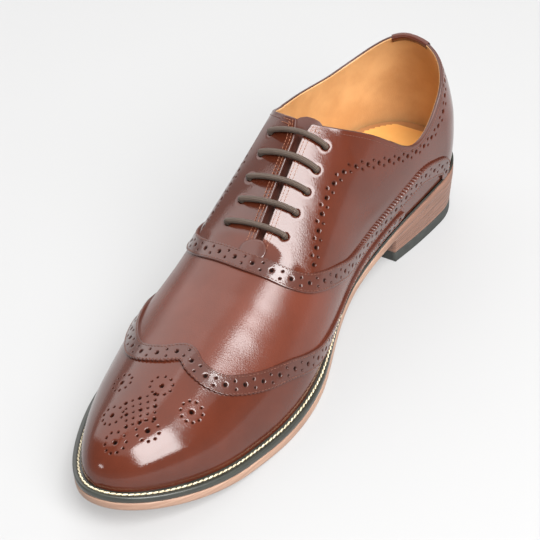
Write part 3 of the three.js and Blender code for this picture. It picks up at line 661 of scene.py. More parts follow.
# Perforation line along the facing and under the topline on the inner side, as (s, v)
facingLine = [
    (0.548, 0.425), (0.519, 0.376), (0.488, 0.34), (0.458, 0.325), (0.43, 0.338), (0.402, 0.375), (0.373, 0.446),
    (0.342, 0.525), (0.3, 0.615), (0.265, 0.68), (0.23, 0.728), (0.192, 0.757), (0.156, 0.757), (0.119, 0.717),
    (0.092, 0.655)]
broguing = {"pitch": 8.2, "big": 1.08, "small": 0.7, "spread": 1.8, "depth": 1.3, "ownLine": 0.31, "sharedLine": 0.39}
# Toe medallion: rosettes as (s, v, radius of the middle hole), with a lattice between them
rosettes = [(0.842, 0.017, 1.05), (0.854, -0.317, 0.95), (0.851, 0.361, 1.1),
            (0.917, -0.199, 1.0), (0.916, 0.223, 1.15), (0.954, 0.028, 1.05)]
medallion = {"ring": 5.0, "ringHoles": 10, "turn": 0.3, "small": 0.58, "depth": 1.4, "shallow": 0.6}
lattice = {"place": (0.893, 0.02), "step": 4.1, "stretch": 1.25, "long": 15.0, "wide": 10.0, "big": 0.85, "small": 0.55}
# Eyelets as (s, v) on the inner side, then on the outer side
eyelets = [(0.405, 0.194, 0.41, -0.178), (0.44, 0.195, 0.444, -0.17), (0.474, 0.188, 0.482, -0.169),
           (0.509, 0.167, 0.517, -0.159), (0.547, 0.153, 0.552, -0.19)]
eyeletHole = {"radius": 1.9, "depth": 1.9}
# The facings are stretched flat across between the slot and the perforation line
flatFacing = {"middle": 0.26, "share": 0.8, "from": 0.385, "to": 0.575, "fade": 0.015, "edge": 0.035}


# One big hole, or a pair of small ones side by side: mm across the line and radius
def holesAt(k, size):
    if k % 2 == 0:
        return [(0.0, size["big"])]
    return [(size["spread"], size["small"]), (-size["spread"], size["small"])]


# Holes along a path of (s, v), as (s, v, radius, depth)
def lineHoles(path, size):
    run = skin(path[:, 0], path[:, 1])
    places = evenly(run, size["pitch"] / 2)
    spots = sample(path, places)
    ahead = heading(run, places)
    e1, e2 = tangents(spots[:, 0], spots[:, 1])
    forward, across = (ahead * e1).sum(1), (ahead * e2).sum(1)
    found = []
    for k in range(len(spots)):
        for off, radius in holesAt(k, size):
            s, v = moveOn(spots[k, 0], spots[k, 1], -across[k] * off, forward[k] * off)
            found.append((float(s), float(v), radius, size["depth"]))
    return found


facingPath = throughPoints(facingLine, 400)
heelRun = np.concatenate([np.linspace(0.09, 0.02, 60), np.linspace(0.0195, 0.0025, 40)])


# The perforation line of one side: the shared line in front, then as far below its own topline as on the inner side
def perforationLine(side):
    s, v = facingPath.T
    drops = toplineAt(s, 1) - lastPoint(s, v)[:, 2]
    s = np.concatenate([s, heelRun])
    goal = toplineAt(s, side) - np.concatenate([drops, np.full(heelRun.shape, drops[-1])])
    own = bisect(lambda q: lastPoint(s, side * q)[..., 2] < goal, s.shape)
    shared = smooth(s, broguing["ownLine"], broguing["sharedLine"])
    return np.stack([s, side * (own * (1 - shared) + np.concatenate([v, own[len(v):]]) * shared)], 1)


holePlaces = []
for side in (1, -1):
    holePlaces += lineHoles(perforationLine(side), broguing)
turn = np.arange(medallion["ringHoles"]) * 2 * math.pi / medallion["ringHoles"] + medallion["turn"]
for s, v, radius in rosettes:
    holePlaces.append((s, v, radius, medallion["depth"]))
    ringS, ringV = moveOn(np.full(turn.shape, s), np.full(turn.shape, v),
                          np.cos(turn) * medallion["ring"], np.sin(turn) * medallion["ring"])
    holePlaces += [(float(a), float(b), medallion["small"], medallion["shallow"]) for a, b in zip(ringS, ringV)]
for i in range(-4, 5):
    for j in range(-4, 5):
        forward, across = (i + j) * lattice["step"] / 2 * lattice["stretch"], (i - j) * lattice["step"] / 2
        if abs(forward) / lattice["long"] + abs(across) / lattice["wide"] <= 1.0:
            s, v = moveOn(*lattice["place"], forward, across)
            radius = lattice["big"] if (i + j) % 2 == 0 and i % 2 == 0 else lattice["small"]
            holePlaces.append((float(s), float(v), radius, medallion["shallow"]))
for innerS, innerV, outerS, outerV in eyelets:
    holePlaces += [(s, v, eyeletHole["radius"], eyeletHole["depth"]) for s, v in ((innerS, innerV), (outerS, outerV))]
holePlaces = np.array(holePlaces)
upperHoles = list(zip(leatherAt(holePlaces[:, 0], holePlaces[:, 1]), holePlaces[:, 2], holePlaces[:, 3]))


# Normals of the facings lean towards those of the facing's middle
def flattened(normals, s, v):
    facing = flatFacing
    edge = np.interp(s, *np.array(facingLine[7::-1]).T)
    start, end = [smooth(s, facing[key] - facing["fade"], facing[key]) for key in ("from", "to")]
    across = 1 - smooth(np.abs(v), edge - facing["edge"] / 2, edge + facing["edge"] / 2)
    share = (start * (1 - end) * across * facing["share"])[..., None]
    return unit(normals * (1 - share) + lastNormal(s, np.where(v >= 0, 1, -1) * facing["middle"]) * share)


# Normals of the creased leather, from the tilt that the creases give the last's own
def slopedNormals(points, normals, base):
    alongI, alongJ = np.gradient(points, axis=0), np.gradient(points, axis=1)
    plainI, plainJ = np.gradient(base, axis=0), np.gradient(base, axis=1)
    tilt = unit(np.cross(alongI, alongJ)) - unit(np.cross(plainI, plainJ))
    sign = np.sign((np.cross(plainI, plainJ) * normals).sum(-1, keepdims=True))
    return unit(normals + tilt * sign)


# Turns the faces so that they look the same way as the leather
def faceOut(obj, normals):
    facing = np.empty(len(obj.data.vertices) * 3, np.float32)
    obj.data.vertex_normals.foreach_get("vector", facing)
    if (facing.reshape(-1, 3) * normals.reshape(-1, 3)).sum() < 0:
        obj.data.flip_normals()


# One dense sheet of the upper, shared out to the pieces in parts: name, leather and which of its points they hold
def leatherSheet(s, v, cell, parts):
    base, normals = lastPoint(s, v), lastNormal(s, v)
    points = base + normals * creaseLift(base)[..., None]
    flatPoints, deep, near = punch(points.reshape(-1, 3), normals.reshape(-1, 3), upperHoles, cell)
    wanted = flattened(slopedNormals(points, normals, base), s, v).reshape(-1, 3)
    grid = gridFaces(*s.shape)
    for name, material, keep in parts:
        used, faces = np.unique(grid[keep.ravel()[grid[:, 0]]], return_inverse=True)
        # The deep attribute carries the painted shade of the holes to the leather material
        obj = meshObject(name, flatPoints[used], faces.reshape(-1, 4), material, values={"deep": deep[used]})
        faceOut(obj, normals.reshape(-1, 3)[used])
        softNormals(obj, wanted[used], 1 - near[used])
        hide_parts("upper")


# Shares of the length that are evenly spaced over the leather
def evenShares(start, end, count, v=0.55):
    s = np.linspace(0, 1, 1200)
    s = start + (end - start) * (1 - np.cos(s * math.pi)) / 2
    run = np.zeros(len(s))
    for place in (v, 0.0):
        run[1:] += np.cumsum(np.linalg.norm(np.diff(lastPoint(s, np.full(s.shape, place)), axis=0), axis=1))
    return np.interp(np.linspace(0, run[-1], count), run, s)


# Middle lines of the bands, which are the borders of the leathers: (s, v, share of the full width)
wingBand = [
    (0.252, 0.955, 0.75), (0.29, 0.95, 0.85), (0.33, 0.948, 0.85), (0.4, 0.943, 0.85), (0.47, 0.933, 0.88),
    (0.54, 0.89, 0.95), (0.6, 0.835, 1), (0.64, 0.765, 1), (0.676, 0.687, 1), (0.733, 0.58, 1), (0.777, 0.44, 1),
    (0.793, 0.308, 1),
    (0.791, 0.135, 1), (0.778, 0, 1)]
quarterBand = [
    (0.121, 1.0, 0.85), (0.117, 0.975, 0.95), (0.126, 0.938, 1.05), (0.162, 0.905, 1.1), (0.2, 0.875, 1.05),
    (0.25, 0.863, 1), (0.305, 0.85, 1), (0.36, 0.825, 1), (0.41, 0.79, 1), (0.455, 0.735, 1), (0.492, 0.655, 1),
    (0.52, 0.587, 1),
    (0.548, 0.51, 1), (0.572, 0.425, 1), (0.592, 0.3, 1), (0.603, 0.14, 1), (0.607, 0, 1)]


def inFront(s, v, band):
    bandS, bandV = np.array(band).T[:2]
    return s > np.interp(np.abs(v), bandV[::-1], bandS[::-1])


sheets = {
    "quarter": {"to": 0.6, "rows": 370, "columns": 128, "cell": 0.5, "vampFrom": 0.25},
    "vamp": {"to": 0.745, "rows": 60, "columns": 220, "cell": 0.8},
    "toe": {"to": 1.0, "rows": 212, "columns": 400, "cell": 0.42, "spread": 0.25},
}
coarse = 1
sheet = sheets["quarter"]
quarterS = evenShares(0, sheet["to"], sheet["rows"] // coarse)
quarterS[np.argmin(abs(quarterS - last["slotEnd"]))] = last["slotEnd"]
quarterT = np.linspace(0, 1, sheet["columns"] // coarse)
for side, label in ((1, "Inner"), (-1, "Outer")):
    top = openEdge(quarterS, side)
    s = np.repeat(quarterS[:, None], len(quarterT), 1)
    v = side * (1 + (top[:, None] - 1) * quarterT[None])
    vampOn = (s > sheet["vampFrom"]) & inFront(s, v, quarterBand)
    toeOn = vampOn & inFront(s, v, wingBand)
    leatherSheet(s, v, sheet["cell"] * coarse, [
        ("quarter" + label, upperLeather, ~vampOn), ("vampSide" + label, vampLeather, vampOn & ~toeOn),
        ("wingSide" + label, upperLeather, toeOn)])
sheet = sheets["vamp"]
s, v = np.meshgrid(evenShares(sheets["quarter"]["to"], sheet["to"], sheet["rows"] // coarse),
                   np.linspace(1, -1, sheet["columns"] // coarse), indexing="ij")
toeOn = inFront(s, v, wingBand)
leatherSheet(s, v, sheet["cell"] * coarse, [("vamp", vampLeather, ~toeOn), ("wingMiddle", upperLeather, toeOn)])
sheet = sheets["toe"]
toeT = np.linspace(-1, 1, sheet["columns"] // coarse)
s, v = np.meshgrid(evenShares(sheets["vamp"]["to"], sheet["to"], sheet["rows"] // coarse),
                   -(toeT * (1 - sheet["spread"]) + sheet["spread"] * toeT ** 3), indexing="ij")
toeOn = inFront(s, v, wingBand)
leatherSheet(s, v, sheet["cell"] * coarse, [("vampFront", vampLeather, ~toeOn), ("toePiece", upperLeather, toeOn)])

print("bands")
bands = {
    "wingBand": {"line": wingBand, "node": "wing_band", "gimped": 1},
    "quarterBand": {"line": quarterBand, "node": "quarter_band", "gimped": -1},
}
bandSize = {"width": 9.5, "tip": 0.35, "taper": 0.03, "height": 1.25, "gimpPitch": 2.1, "gimpDepth": 0.5,
            "step": 0.3, "cell": 0.38, "narrow": 3.4}
bandHoles = {"pitch": 9.6, "big": 0.98, "small": 0.58, "spread": 1.9, "depth": 1.1}
bandThread = {"inset": 1.0, "pitch": 1.9, "long": 1.5, "thick": 0.22, "lift": 0.05}


# A band's middle line on both sides of the shoe: places, half width, and the direction across it in the leather
def bandRows(line, count=4000):
    rows = throughPoints(np.array(line + [(s, -v, w) for s, v, w in line[-2::-1]], float), count)
    s, v, width = rows.T
    u = np.linspace(0, 1, count)
    ends = roundOff(np.minimum(u, 1 - u), bandSize["taper"])
    half = bandSize["width"] * width * (bandSize["tip"] + (1 - bandSize["tip"]) * ends) / 2
    middle = lastPoint(s, v)
    e1, e2 = tangents(s, v)
    side = unit(np.cross(np.cross(*metric(s, v)), unit(np.gradient(middle, axis=0))))
    return middle, np.stack([s, v, half, (side * e1).sum(1), (side * e2).sum(1)], 1)


def makeBand(name, spec):
    middle, rows = bandRows(spec["line"])
    index = evenly(middle, bandSize["step"] * coarse, 0.02)
    middle, rows = sample(middle, index), sample(rows, index)
    s, v, half, forward, across = rows.T
    run = runAlong(middle)
    # Across the band: rolled edges, then a flat face
    rolled = [(1, -0.3), (1, 0.5), (0.985, 0.85), (0.95, 1.0)]
    profile = [(-w, h) for w, h in rolled] + [(w, 1.0) for w in np.linspace(-0.9, 0.9, 25)] + rolled[::-1]
    w, height = np.array(profile).T
    saw = abs((run / bandSize["gimpPitch"]) % 1 - 0.5) * 2
    gimp = 1 - bandSize["gimpDepth"] * saw / half
    gimped = w[None] * (1 + (gimp[:, None] - 1) * abs(w[None]) ** 3)
    sideways = np.where(w[None] * spec["gimped"] > 0, gimped, w[None]) * half[:, None]
    ahead, aside = forward[:, None] * sideways, across[:, None] * sideways
    bandS, bandV = moveOn(s[:, None] + 0 * w, v[:, None] + 0 * w, ahead, aside)
    bandS, bandV = np.clip(bandS, 0.001, 0.999), np.clip(bandV, -1, 1)
    normals = lastNormal(bandS, bandV)
    points = lastPoint(bandS, bandV) + normals * (height * bandSize["height"])[None, :, None]
    holes = []
    for k, place in enumerate(evenly(middle, bandHoles["pitch"] / 2, 0.9)):
        holeS, holeV, holeHalf, holeForward, holeAcross = sample(rows, np.array([place]))[0]
        spots = holesAt(k, bandHoles)
        if holeHalf < bandSize["narrow"]:
            spots = [(0.0, bandHoles["small"])] if k % 2 == 0 else []
        for off, radius in spots:
            spotS, spotV = moveOn(holeS, holeV, holeForward * off, holeAcross * off)
            holes.append((skin(spotS, min(1, max(-1, spotV)), bandSize["height"]), radius, bandHoles["depth"]))
    # deep is the painted shade of the band's holes, read by the leather material
    flatPoints, deep = punch(points.reshape(-1, 3), normals.reshape(-1, 3), holes, bandSize["cell"] * coarse)[:2]
    obj = meshObject(name, flatPoints, gridFaces(*points.shape[:2]), bandLeather, values={"deep": deep})
    faceOut(obj, normals)
    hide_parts(spec["node"])
    for end, label in ((1, "Rear"), (-1, "Front")):
        inset = end * (half - bandThread["inset"])
        rowS, rowV = np.clip(moveOn(s, v, forward * inset, across * inset), -1, 1)
        lineNormals = lastNormal(rowS, rowV)
        line = lastPoint(rowS, rowV) + lineNormals * bandSize["height"]
        row = stitches(name + label + "Stitches", line[6:-6], lineNormals[6:-6], brownThread, bandThread)


for bandName, spec in bands.items():
    makeBand(bandName, spec)

print("collar and facings")
collarEdge = {"thick": 2.0, "round": 0.75, "steps": 9, "brownShare": 0.7}
lining = {"depth": 2.0, "rows": 150, "columns": 46, "to": 0.985, "foot": 0.995}
# Rows of thread beside the edge: mm from it, thread, and the shares of the length that they lie between
edgeRows = ((1.2, tanThread, (0.385, 1.0)), (3.2, tanThread, (0.385, 1.0)), (1.9, brownThread, (-1.0, 0.383)))
edgeThread = {"pitch": 1.7, "long": 1.5, "thick": 0.17, "lift": 0.02}
edgeS = np.concatenate([evenShares(0, 0.392, 260), evenShares(0.3925, last["slotEnd"], 90)])
liningS = np.concatenate([evenShares(0, 0.392, lining["rows"]), evenShares(0.393, lining["to"], lining["rows"])])
for side, label in ((1, "Inner"), (-1, "Outer")):
    s, v = edgeS, side * openEdge(edgeS, side)
    outside, normal = leatherAt(s, v), lastNormal(s, v)
    out = unit(np.cross(unit(np.gradient(outside, axis=0)), normal))
    out = out * np.sign((out * (lastPoint(s, v * 0.98) - lastPoint(s, v))).sum(1, keepdims=True) + 1e-9)
    brown = collarEdge["brownShare"]
    for part, low, high, material in (("Bead", 0.0, brown, edgeLeather), ("Lip", brown, 1.0, lipLeather)):
        angle = np.linspace(low, high, collarEdge["steps"]) * math.pi
        half = normal * collarEdge["thick"] / 2
        points = (outside[:, None] - half[:, None] + half[:, None] * np.cos(angle)[None, :, None]
                  + out[:, None] * (np.sin(angle) * collarEdge["round"])[None, :, None])
        bead = meshObject("edge" + part + label, points, gridFaces(len(s), len(angle), flip=side < 0), material)
    top = openEdge(liningS, side)[:, None]
    t = np.linspace(0, 1, lining["columns"])
    wallS = np.repeat(liningS[:, None], len(t), 1)
    points = skin(wallS, side * (top + (lining["foot"] - top) * t[None]), np.full(wallS.shape, -lining["depth"]))
    wall = meshObject("lining" + label, points, gridFaces(len(liningS), len(t), flip=side > 0), liningLeather)
    for inset, thread, (start, end) in edgeRows:
        keep = (s > start) & (s < end)
        e1, e2 = tangents(s[keep], v[keep])
        down = -out[keep] * inset
        a, b = moveOn(s[keep], v[keep], (down * e1).sum(1), (down * e2).sum(1))
        row = stitches("edgeStitches" + label + str(inset), leatherAt(a, b), lastNormal(a, b), thread, edgeThread)

# Half-moon that stays the end of the slot; the quarter band covers its lower half
slotStay = {"place": (0.5865, 0.01), "half": (6.0, 5.8), "height": 1.0, "spokes": 64}
angle = np.arange(slotStay["spokes"]) * 2 * math.pi / slotStay["spokes"]
flatRings = [(0.02, 1.0)] + [(r, 1.0) for r in np.linspace(0.1, 0.93, 8)]
profile = np.array(flatRings + [(0.97, 0.85), (0.995, 0.5), (1.0, -0.2)])
middleS, middleV = (np.full((len(profile), len(angle)), place) for place in slotStay["place"])
halfLong, halfWide = slotStay["half"]
a, b = moveOn(middleS, middleV, profile[:, :1] * (halfLong * np.cos(angle)), profile[:, :1] * (halfWide * np.sin(angle)))
points = leatherAt(a, b) + lastNormal(a, b) * (profile[:, 1] * slotStay["height"])[:, None, None]
stay = meshObject("slotStay", points, gridFaces(*middleS.shape, closeCols=True), bandLeather,
                  values={"deep": np.zeros(middleS.shape)})

# Tab over the heel's topline: rows of (v below the edge, mm off the leather), and over the edge (mm off, mm up)
heelTab = {"half": 0.012, "rows": 16, "outside": [(0.075, -0.3), (0.07, 0.3), (0.04, 0.42), (0.015, 0.45)],
           "over": [(0.45, 0.4), (0.1, 0.8), (-0.9, 1.05), (-1.9, 0.8), (-2.4, 0.3)],
           "inside": [(0.012, -2.5), (0.02, -2.0)]}
tabRows = []
for side in (-1, 1):
    s = np.linspace(0, heelTab["half"], heelTab["rows"])
    s = s[::-1] if side < 0 else s[1:]
    for place, top in zip(s, openEdge(s, side)):
        strip = []
        for part in ("outside", "over", "inside"):
            first, second = np.array(heelTab[part]).T
            down, off, lift = (0 * first, first, second) if part == "over" else (first, second, 0 * first)
            row = skin(np.full(len(first), place), side * (top + down), off)
            strip.append(row + np.stack([0 * lift, 0 * lift, lift], 1))
        tabRows.append(np.concatenate(strip))
tabRows = np.array(tabRows)
tab = meshObject("heelTab", tabRows, gridFaces(*tabRows.shape[:2]), upperLeather,
                 values={"deep": np.zeros(tabRows.shape[:2])})

print("tongue and lace")
tongueSize = {"depth": 5.8, "thick": 1.6, "half": 20, "from": 0.377, "to": 0.605,
              "topWidth": 0.62, "widensOver": 0.06, "topRound": 10, "topEnd": 0.35}
laceSize = {"radius": 1.6, "lift": 1.45, "depth": 3.9, "tail": 6, "bend": 1.6, "step": 0.4, "flat": 0.85}
tongueS = np.linspace(tongueSize["from"], tongueSize["to"], 90)
ridgeY = lastPoint(tongueS, 0 * tongueS)[..., 1]
reach = [bisect(lambda q: abs(lastPoint(tongueS, side * q)[..., 1] - ridgeY) > tongueSize["half"], tongueS.shape)
         for side in (1, -1)]
roundTop = roundOff((tongueS - tongueS[0]) * length, tongueSize["topRound"])
widen = np.clip((tongueS - tongueS[0]) / tongueSize["widensOver"], 0, 1)
halfV = (reach[0] + reach[1]) / 2 * (tongueSize["topWidth"] + (1 - tongueSize["topWidth"]) * widen)
halfV = halfV * (tongueSize["topEnd"] + (1 - tongueSize["topEnd"]) * roundTop)
t = np.linspace(0, 1, 60)
v = (reach[0] - reach[1])[:, None] / 2 + halfV[:, None] * (1 - 2 * t[None])
s = np.repeat(tongueS[:, None], len(t), 1)
front, back = [skin(s, v, np.full(s.shape, -tongueSize["depth"] - d)) for d in (0.0, tongueSize["thick"])]
tongue = meshObject("tongue", np.concatenate([front, back[:, ::-1]], 1),
                    gridFaces(len(tongueS), 2 * len(t), closeCols=True, flip=True), tongueLeather)
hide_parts("tongue")


# Corners of the lace's path: bars over the facings, down the eyelets, and on underneath
def laceCorners():
    corners = []
    before = None
    for k, (innerS, innerV, outerS, outerV) in enumerate(eyelets):
        here, there = (innerS, innerV), (outerS, outerV)
        if k % 2:
            here, there = there, here
        start = before or (here[0] + laceSize["tail"] / length, here[1])
        corners += [skin(*start, -laceSize["depth"]), skin(*here, -laceSize["depth"])]
        u = np.linspace(0.0, 1, 13)
        barS, barV = here[0] + (there[0] - here[0]) * u, here[1] + (there[1] - here[1]) * u
        corners += list(leatherAt(barS, barV, laceSize["lift"]))
        before = there
    end = (before[0] + laceSize["tail"] / length, before[1])
    corners += [skin(*before, -laceSize["depth"]), skin(*end, -laceSize["depth"])]
    return np.array(corners)


corners = laceCorners()
bent = [corners[0]]
for a, b, c in zip(corners, corners[1:], corners[2:]):
    back, on = a - b, c - b
    backLong, onLong = np.linalg.norm(back), np.linalg.norm(on)
    bend = min(laceSize["bend"], backLong / 2, onLong / 2)
    p, q = b + back / backLong * bend, b + on / onLong * bend
    w = np.linspace(0, 1, 6)[:, None]
    bent += list((1 - w) ** 2 * p + 2 * w * (1 - w) * b + w ** 2 * q)
bent = np.array(bent + [corners[-1]])
bent = bent[np.concatenate([[True], np.linalg.norm(np.diff(bent, axis=0), axis=1) > 0.02])]
lacePath = sample(bent, evenly(bent, laceSize["step"], 0.0))
laceCord = tube("laceCord", lacePath, laceSize["radius"], lace, flatten=laceSize["flat"])
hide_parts("lace")

print("sole")
welt = {"heelInset": 0.75, "grooveDeep": 0.28}
sole = {"insoleRise": 3.1, "insoleInset": 2.4, "heelFrom": 0.33, "heelFade": 0.08}
sock = {"from": 0.01, "to": 0.42, "inset": 5.5, "rise": 3.9, "teeth": 1.3, "perTooth": 11}
weltThread = {"pitch": 2.7, "long": 3.1, "thick": 0.46, "lift": 0.12, "slant": 0.22}
stationS = evenShares(0, 1, 240, 1.0)
stationS[0], stationS[-1] = 0, 1
loopS = np.concatenate([stationS, stationS[-2:0:-1]])
loopSide = np.concatenate([np.ones(len(stationS)), -np.ones(len(stationS) - 2)])
atHeel = np.clip((sole["heelFrom"] - loopS) / sole["heelFade"], 0, 1)


# Ring round the sole from a list of (follow, extra inset, height function)
def soleRing(name, profile, material, nodeName, close=True, heelInset=0.0):
    rings = []
    for follow, extra, height in profile:
        x, y = outline(loopS, loopSide, follow, extra + heelInset * atHeel)
        rings.append(np.stack([x, y, height(x)], -1))
    faces = gridFaces(len(loopS), len(profile), closeRows=True, closeCols=close)
    obj = meshObject(name, np.stack(rings, 1), faces, material, values={"heel": np.repeat(atHeel, len(profile))})
    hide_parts(nodeName)


# Sheet across the sole, in one piece from edge to edge
def soleSheet(name, follow, extra, height, material, columns=60):
    (x, innerY), outerY = outline(stationS, 1, follow, extra), outline(stationS, -1, follow, extra)[1]
    t = np.linspace(0, 1, columns)[None]
    x = x[:, None] + 0 * t
    points = np.stack([x, innerY[:, None] + (outerY - innerY)[:, None] * t, height(x)], -1)
    obj = meshObject(name, points, gridFaces(len(stationS), columns), material)
    return obj


def raised(base, off):
    return lambda x: base(x) + off


# Height on the welt: share 0 just over the sole, 1 on its top
def rimAt(share, off=0.0):
    return lambda x: soleTopAt(x) + 0.15 + (weltTopAt(x) - soleTopAt(x) - 0.15) * share + off


groove = rimAt(1, -welt["grooveDeep"])
weltProfile = [(1, 3.5, rimAt(0)), (0, 0.5, rimAt(0)), (0, 0.22, rimAt(0.06)), (0, 0.05, rimAt(0.25)),
               (0, 0.0, rimAt(0.5)), (0, 0.08, rimAt(0.75)), (0, 0.3, rimAt(0.93)), (0, 0.7, rimAt(1)),
               (1, -1.9, rimAt(1, -0.02)), (1, -1.65, groove), (1, -1.25, groove),
               (1, -1.0, rimAt(1, -0.02)), (1, 0.4, rimAt(1)), (1, 3.5, rimAt(1))]
soleRing("weltRim", weltProfile[::-1], weltLeather, "welt", heelInset=welt["heelInset"])
soleProfile = [(1, 5, raised(soleTopAt, 0)), (0, 0.5, raised(soleTopAt, 0)), (0, 0.12, raised(soleTopAt, -0.25)),
               (0, 0.0, raised(soleTopAt, -0.9)), (0, 0.0, raised(treadAt, 1.6)), (0, 0.05, raised(treadAt, 0.6)),
               (0, 0.25, raised(treadAt, 0.1)), (0, 0.8, raised(treadAt, 0)), (0, 4, raised(treadAt, 0))]
soleRing("soleEdgeRing", soleProfile, soleEdge, "outsole", close=False)
soleSheet("soleUnderside", 0, 4, raised(treadAt, 0), soleEdge)
boardTop = raised(weltTopAt, sole["insoleRise"])
board = soleSheet("insoleBoard", 1, sole["insoleInset"], boardTop, boardLeather)
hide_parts("insole")

# Sock over the back of the insole, its edge cut in small teeth
s = evenShares(sock["from"], sock["to"], 480, 1.0)
t = np.linspace(0, 1, 40)
teeth = abs(np.arange(len(s)) / sock["perTooth"] % 1 - 0.5) * 2 * sock["teeth"]
(x, innerY), outerY = outline(s, 1, 1, sock["inset"]), outline(s, -1, 1, sock["inset"])[1]
y = (innerY - teeth)[:, None] + (outerY + teeth - innerY + teeth)[:, None] * t
sockSheet = meshObject("sock", np.stack([x[:, None] + 0 * t, y, (weltTopAt(x) + sock["rise"])[:, None] + 0 * t], -1),
                       gridFaces(len(s), len(t)), sockLeather)

stitchS = evenShares(0, 1, 900, 1.0)
stitchS = stitchS[column("margin", stitchS) > 0.5]
for side, label in ((1, "Inner"), (-1, "Outer")):
    x, y = outline(stitchS, side, 1, -1.45)
    line = np.stack([x, y, weltTopAt(x) - 0.15], -1)
    row = stitches("weltStitches" + label, line, np.tile([0, 0, 1.0], (len(line), 1)), creamThread, weltThread)

print("heel")
heel = {"length": 82, "taper": 1.5, "lean": 3, "top": 6.5, "lifts": 6}
# How far the edge of each lift, and of the rubber under them, is set in at its heights
liftEdge = ((0.0, 0.22), (0.1, 0.06), (0.5, 0.0), (0.9, 0.06), (1.0, 0.22))
rubberEdge = ((0.0, 1.2), (0.0, 0.45), (0.2, 0.12), (0.6, 0.0), (5.9, 0.0), (6.35, 0.1), (6.5, 0.5), (6.5, 3.0))
heelS = evenShares(0, heel["length"] / length, 110, 1.0)
heelS[0] = 0


# Loop round the heel at one height, back from the breast
def heelRing(inset, height):
    rows = []
    for side in (1, -1):
        x, y = outline(heelS, side, 0, inset)
        z = height(x)
        share = heelS / heelS[-1]
        lean = share ** 4 * heel["lean"] * (1 - z / last["heelHeight"])
        rows.append(np.stack([x - lean - share * inset, y, z], -1))
    breast = rows[0][-1] + (rows[1][-1] - rows[0][-1]) * np.linspace(0, 1, 30)[1:-1, None]
    return np.concatenate([rows[0], breast, rows[1][::-1][:-1]])


def heelSide(name, levels, material, nodeName):
    points = np.stack([heelRing(inset, height) for inset, height in levels], 1)
    obj = meshObject(name, points, gridFaces(*points.shape[:2], closeRows=True, flip=True), material)
    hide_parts(nodeName)


def level(z):
    return lambda x: z + 0 * x


# Height in the stack: share 0 just over the rubber, 1 just under the sole
def inStack(share):
    return lambda x: heel["top"] + 0.15 + (treadAt(x) - 0.1 - heel["top"] - 0.15) * share


stackLevels = []
for k in range(heel["lifts"]):
    for part, inset in liftEdge:
        share = (k + part) / heel["lifts"]
        stackLevels.append((heel["taper"] * (1 - share) + inset, inStack(share)))
heelSide("heelLifts", stackLevels, heelEdge, "heel_stack")
rubberLevels = [(heel["taper"] + inset, level(z)) for z, inset in rubberEdge]
heelSide("heelTopPiece", rubberLevels, topRubber, "heel_top_piece")
under = heelRing(heel["taper"] + rubberEdge[0][1], level(0.0))
left, right = under[:len(heelS)], np.concatenate([under[:1], under[:-len(heelS):-1]])
underside = left[:, None] + (right[:, None] - left[:, None]) * np.linspace(0, 1, 20)[None, :, None]
bottom = meshObject("heelUnderside", underside, gridFaces(len(heelS), 20), topRubber)

print("floor, lights and camera")
floorLook = {"half": 3000, "color": 0.23, "glow": 0.35, "rough": 0.7}
floorMaterial, floorTree, floorShader = newMaterial("paleFloor")
floorShader.inputs["Base Color"].default_value = (floorLook["color"],) * 3 + (1,)
floorShader.inputs["Emission Color"].default_value = (1, 1, 1, 1)
floorShader.inputs["Emission Strength"].default_value = floorLook["glow"]
floorShader.inputs["Roughness"].default_value = floorLook["rough"]
dust = node(floorTree, "ShaderNodeTexNoise", Scale=60.0, Detail=3.0)
dustBump = node(floorTree, "ShaderNodeBump", Strength=0.02, Distance=0.001, Height=dust.outputs["Fac"])
floorTree.links.new(dustBump.outputs[0], floorShader.inputs["Normal"])
floorCorners = [(x * floorLook["half"], y * floorLook["half"], 0.0) for x, y in ((-1, -1), (1, -1), (1, 1), (-1, 1))]
floor = meshObject("floor", np.array(floorCorners) - [placeX, placeY, 0], [(0, 1, 2, 3)], floorMaterial, body=None)
floor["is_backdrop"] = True

# Sky paler towards the horizon
world = bpy.data.worlds.new("studio")
bpy.context.scene.world = world
world.use_nodes = True
background = world.node_tree.nodes["Background"]
where = world.node_tree.nodes.new("ShaderNodeTexCoord").outputs["Generated"]
direction = node(world.node_tree, "ShaderNodeSeparateXYZ", Vector=where)
paler = ramp(world.node_tree, direction.outputs["Z"], 0.0, 0.5, 0.5, 0.24)
world.node_tree.links.new(paler, background.inputs["Strength"])
background.inputs["Color"].default_value = (1.0, 0.98, 0.97, 1)

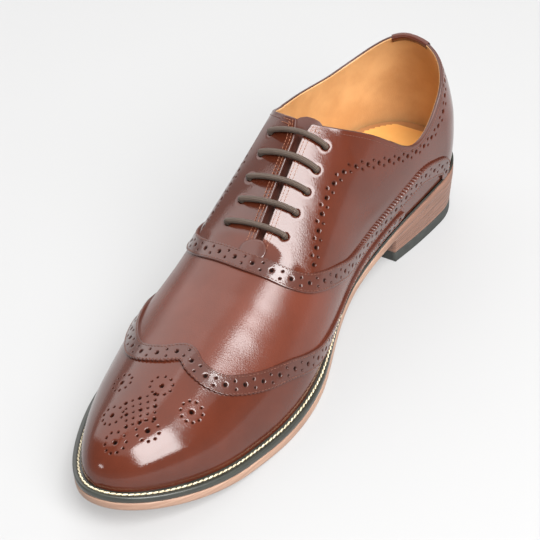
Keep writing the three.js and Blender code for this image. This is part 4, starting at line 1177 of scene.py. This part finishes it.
# Softboxes by the direction they stand in as seen from the shoe, in degrees, so each gives its own highlight
lights = {
    "keySoftbox": {"azimuth": 68, "height": 49, "away": 1.6, "size": (1.02, 1.45), "radiance": 13.2},
    "frontStrip": {"azimuth": -25, "height": 26, "away": 1.3, "size": (0.2, 0.09), "radiance": 12.0},
    "outerFill": {"azimuth": -120, "height": 43, "away": 1.8, "size": (2.4, 2.1), "radiance": 1.7},
    "ceiling": {"azimuth": 100, "height": 78, "away": 2.2, "size": (2.6, 2.6), "radiance": 0.9},
}
for lightName, spec in lights.items():
    data = bpy.data.lights.new(lightName, "AREA")
    data.shape = "RECTANGLE"
    data.size, data.size_y = spec["size"]
    data.energy = spec["radiance"] * math.pi * spec["size"][0] * spec["size"][1]
    light = bpy.data.objects.new(lightName, data)
    around, up = math.radians(spec["azimuth"]), math.radians(spec["height"])
    towards = Vector((math.cos(around) * math.cos(up), math.sin(around) * math.cos(up), math.sin(up)))
    light.location = Vector((0, 0, 0.04)) + towards * spec["away"]
    light.rotation_mode = "QUATERNION"
    light.rotation_quaternion = (-towards).to_track_quat("-Z", "Y")
    bpy.context.collection.objects.link(light)
bpy.context.scene.view_settings.view_transform = "Standard"

# The photo's own camera, found from the outline of the shoe and closed in on the one shoe
photoCamera = {"place": (617.083, 322.565, 503.227), "turn": (0.446274, 0.184223, 0.384994, 0.786563),
               "sensor": 36, "focal": 1500, "frame": 540}
cameraData = bpy.data.cameras.new("camera")
cameraData.sensor_width = photoCamera["sensor"]
cameraData.lens = photoCamera["sensor"] * photoCamera["focal"] / photoCamera["frame"]
camera = bpy.data.objects.new("camera", cameraData)
camera.location = [(place + shift) * mm for place, shift in zip(photoCamera["place"], (placeX, placeY, 0))]
camera.rotation_mode = "QUATERNION"
camera.rotation_quaternion = Quaternion(photoCamera["turn"])
bpy.context.collection.objects.link(camera)
bpy.context.scene.camera = camera

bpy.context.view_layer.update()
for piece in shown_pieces():
    print(piece.name, len(piece.data.polygons) if piece.type == "MESH" else "")
